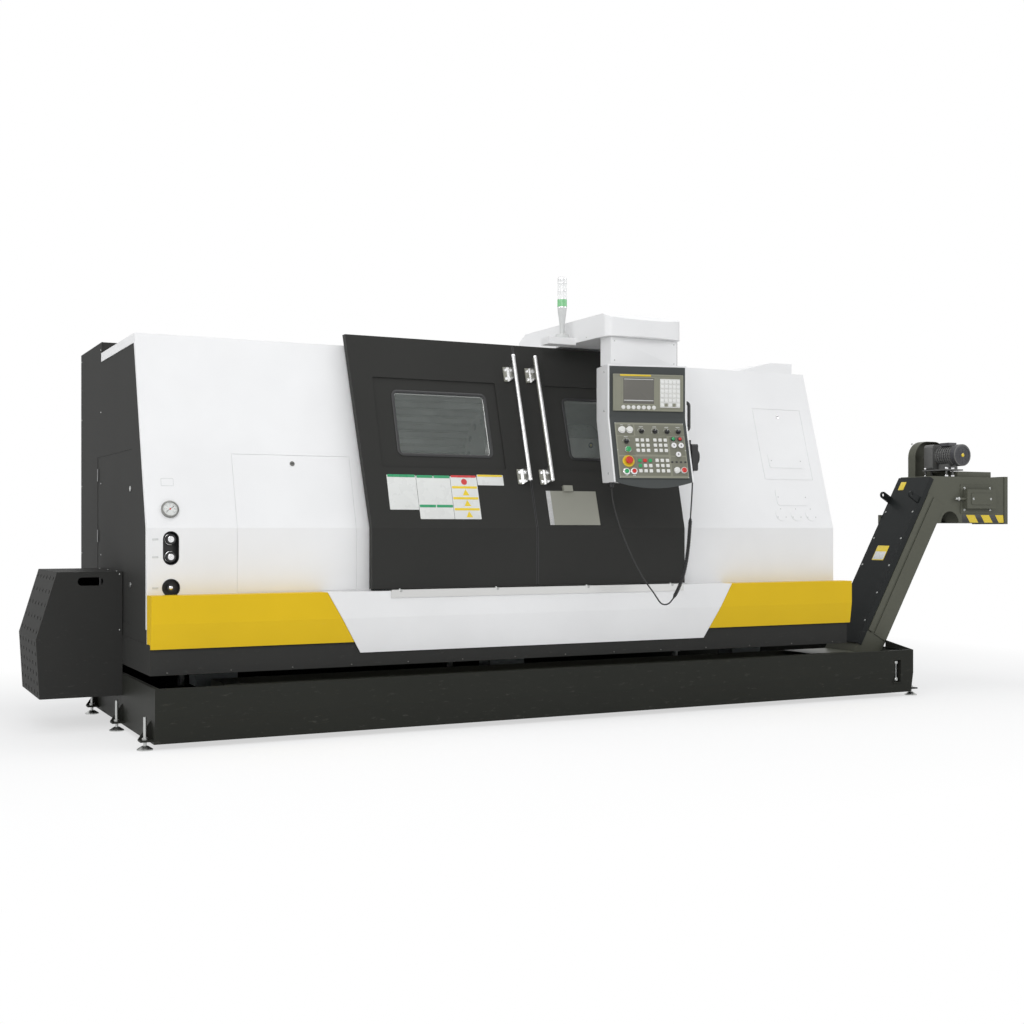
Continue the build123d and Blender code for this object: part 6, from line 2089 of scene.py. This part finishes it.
@dataclass
class GuardTrim:
    """Screws along the guard's flanges."""

    x: float = -14.0
    front: float = 780.0
    front_z: Pair = (520.0, 810.0)
    top: float = 824.0
    top_y: tuple[float, ...] = (860.0, 1110.0, 1360.0)

    def build(self, site: Site) -> None:
        """Make the screws.

        Args:
            site: The working frame.
        """
        screws = Sheet()
        for z in self.front_z:
            screws.pan_screw(facing((self.x, self.front, z), FORWARD), 4)
        for y in self.top_y:
            screws.pan_screw(facing((self.x, y, self.top), UPWARD, BACKWARD), 4)
        screws.piece(site, "guard_screws", Paints.ZINC, Body.MACHINE, "galvanised")


@dataclass
class EndPanelTrim:
    """Lock, hinges and screws of the left end's side cover."""

    x: float = 3.0
    hinge_y: float = 1500.0
    hinge_z: tuple[float, ...] = (660.0, 1005.0, 1350.0)
    lock_y: float = 590.0
    lock_z: Pair = (760.0, 1250.0)
    screw_y: Pair = (2040.0, 1410.0)
    screw_z: tuple[float, ...] = (520.0, 900.0, 1300.0, 1700.0, 2050.0)

    def build(self, site: Site) -> None:
        """Make the hardware of the side cover.

        Args:
            site: The working frame.
        """
        dark, bright = Sheet(), Sheet()
        for z in self.hinge_z:
            dark.slab(facing((self.x, self.hinge_y, z), LEFTWARD), 30, 70, 3, 4, 1)
        for z in self.lock_z:
            place = facing((self.x + 1, self.lock_y, z), LEFTWARD)
            bright.turned(place, [(14, 0), (14, 3), (10, 4.4), (2, 4.4)], 28)
        for z in self.screw_z:
            for y in self.screw_y:
                bright.pan_screw(facing((self.x, y, z), LEFTWARD), 4)
        dark.piece(site, "side_cover_hinges", Paints.BLACK, Body.MACHINE, "dark_plastic")
        bright.piece(site, "side_cover_locks", Paints.ZINC, Body.MACHINE, "galvanised")


@dataclass
class InsideTrim:
    """What shows through the door glass: ridged rear wall, work lamp and the cross slide's cover block."""

    wall_x: Pair = (1165.0, 3040.0)
    wall_y: float = 1520.0
    wall_low: float = 1440.0
    ridge: float = 46.0
    block_front: float = 900.0
    block_back: float = 1110.0
    holes: tuple[Pair, ...] = ((2745.0, 1668.0), (2778.0, 1660.0), (2803.0, 1634.0), (2830.0, 1662.0),
                               (2864.0, 1634.0), (2862.0, 1684.0))
    nozzle: Pair = (2884.0, 1566.0)
    lamp: Point = (2100.0, 560.0, 2030.0)
    lamp_out: Point = (0.0, -0.5, -0.87)
    lamp_up: Point = (0.0, -0.87, 0.5)
    block: tuple[Pair, ...] = ((2700.0, 1486.0), (2950.0, 1486.0), (2950.0, 1608.0), (2700.0, 1608.0))
    plate: tuple[Pair, ...] = ((2700.0, 1608.0), (2950.0, 1608.0), (2950.0, 1648.0), (2894.0, 1692.0),
                               (2716.0, 1692.0))

    def rear_wall(self, site: Site) -> None:
        """Ridged sheet over the rear wall.

        Args:
            site: The working frame.
        """
        sheet = Sheet()
        profile = []
        for row in range(12):
            up = self.wall_low + row * self.ridge
            profile += [(self.wall_y, up), (self.wall_y - 10, up + 8), (self.wall_y - 10, up + 34),
                        (self.wall_y, up + 42)]
        rings = []
        for x in self.wall_x:
            front = [Vector((x, y, z)) for y, z in profile]
            back = [Vector((x, y + 8, z)) for y, z in reversed(profile)]
            rings.append(front + back)
        sheet.rings(rings, Matrix.Identity(4))
        sheet.piece(site, "rear_wall_sheet", Paints.ALUMINIUM, Body.MACHINE, "aluminium")

    def block_part(self, site: Site, name: str, finish: Finish, corners: Sequence[Pair]) -> None:
        """One upright slab of the cover block, with a softened front edge.

        Args:
            site: The working frame.
            name: The piece's name.
            finish: Its finish.
            corners: Its outline as pairs of x and z.
        """
        sheet = Sheet()
        cx = sum(x for x, _z in corners) / len(corners)
        cz = sum(z for _x, z in corners) / len(corners)
        rings = []
        for y, share in ((self.block_front, 0.97), (self.block_front + 4, 1.0), (self.block_back, 1.0)):
            rings.append([Vector((cx + (x - cx) * share, y, cz + (z - cz) * share)) for x, z in corners])
        sheet.rings(rings, Matrix.Identity(4))
        sheet.piece(site, name, finish, Body.CROSS_SLIDE, "aluminium")

    def cover_block(self, site: Site) -> None:
        """Pale cover block on the cross slide with its darker plate, painted shade for its holes, and its
        nozzle.

        Args:
            site: The working frame.
        """
        self.block_part(site, "cover_block", Paints.COVER_GREY, self.block)
        self.block_part(site, "cover_plate", Paints.COVER_DARK, self.plate)
        nozzle = facing((self.nozzle[0], self.block_front, self.nozzle[1]), FORWARD)
        dark = Sheet()
        # Each hole is a dark disc on the face: painted shade, not a real bore. The nozzle's collar below is a
        # real dark part.
        for x, z in self.holes:
            hole = facing((x, self.block_front, z), FORWARD)
            dark.turned(hole, [(5, 0), (5, 0.8), (3, 0.8), (3, 0.2)], 16)
        dark.turned(nozzle, [(17, 0), (17, 6), (14, 8), (9, 8), (9, 2)], 28)
        dark.piece(site, "cover_hole_shade_and_collar", Paints.BLACK, Body.CROSS_SLIDE, "dark_plastic")
        brass = Sheet()
        brass.turned(nozzle, [(8, 0), (8, 7), (5, 12), (3, 12), (3, 9)], 20)
        brass.piece(site, "cover_nozzle", Paints.LABEL_YELLOW, Body.CROSS_SLIDE, "aluminium")

    def light_bar(self, site: Site) -> None:
        """Long work lamp under the roof.

        Args:
            site: The working frame.
        """
        case, lens = Sheet(), Sheet()
        place = facing(self.lamp, self.lamp_out, self.lamp_up)
        case.slab(place, 1500, 70, 22, 8, 3)
        lens.slab(place.moved(out=22), 1460, 48, 3, 6, 1)
        case.piece(site, "work_lamp_case", Paints.BLACK, Body.MACHINE, "dark_plastic")
        lens.piece(site, "work_lamp_lens", Paints.WORK_LIGHT, Body.MACHINE, "lens")

    def build(self, site: Site) -> None:
        """Make the inner pieces.

        Args:
            site: The working frame.
        """
        self.rear_wall(site)
        self.cover_block(site)
        self.light_bar(site)


def dress_nodes() -> None:
    """Give every carried-over solid its finish."""
    for finish, names in NODE_FINISHES.items():
        for name in names:
            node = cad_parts[name]
            node.data.materials.clear()
            node.data.materials.append(finish.material())
    log.info("solids dressed: %d", sum(len(names) for names in NODE_FINISHES.values()))


def main() -> None:
    """Build the studio, dress the solids and add each sub-assembly's detail."""
    logging.basicConfig(level=logging.INFO, format="%(message)s")
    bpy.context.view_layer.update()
    site = Site()
    Studio().build(site)
    Cord().build(site)
    dress_nodes()
    TankTrim().build(site)
    ApronTrim().build(site)
    DoorTrim(-1, Body.LEFT_DOOR).build(site)
    DoorTrim(1, Body.RIGHT_DOOR, window_from_seam=534.0, handle_from_seam=89.0).build(site)
    StickerGroup().build(site)
    LeftCabinetTrim().build(site)
    RightCabinetTrim().build(site)
    BoomTrim().build(site)
    BeaconTrim().build(site)
    PendantTrim().build(site)
    ConveyorTrim().build(site)
    GuardTrim().build(site)
    EndPanelTrim().build(site)
    InsideTrim().build(site)


if __name__ == "__main__":
    main()
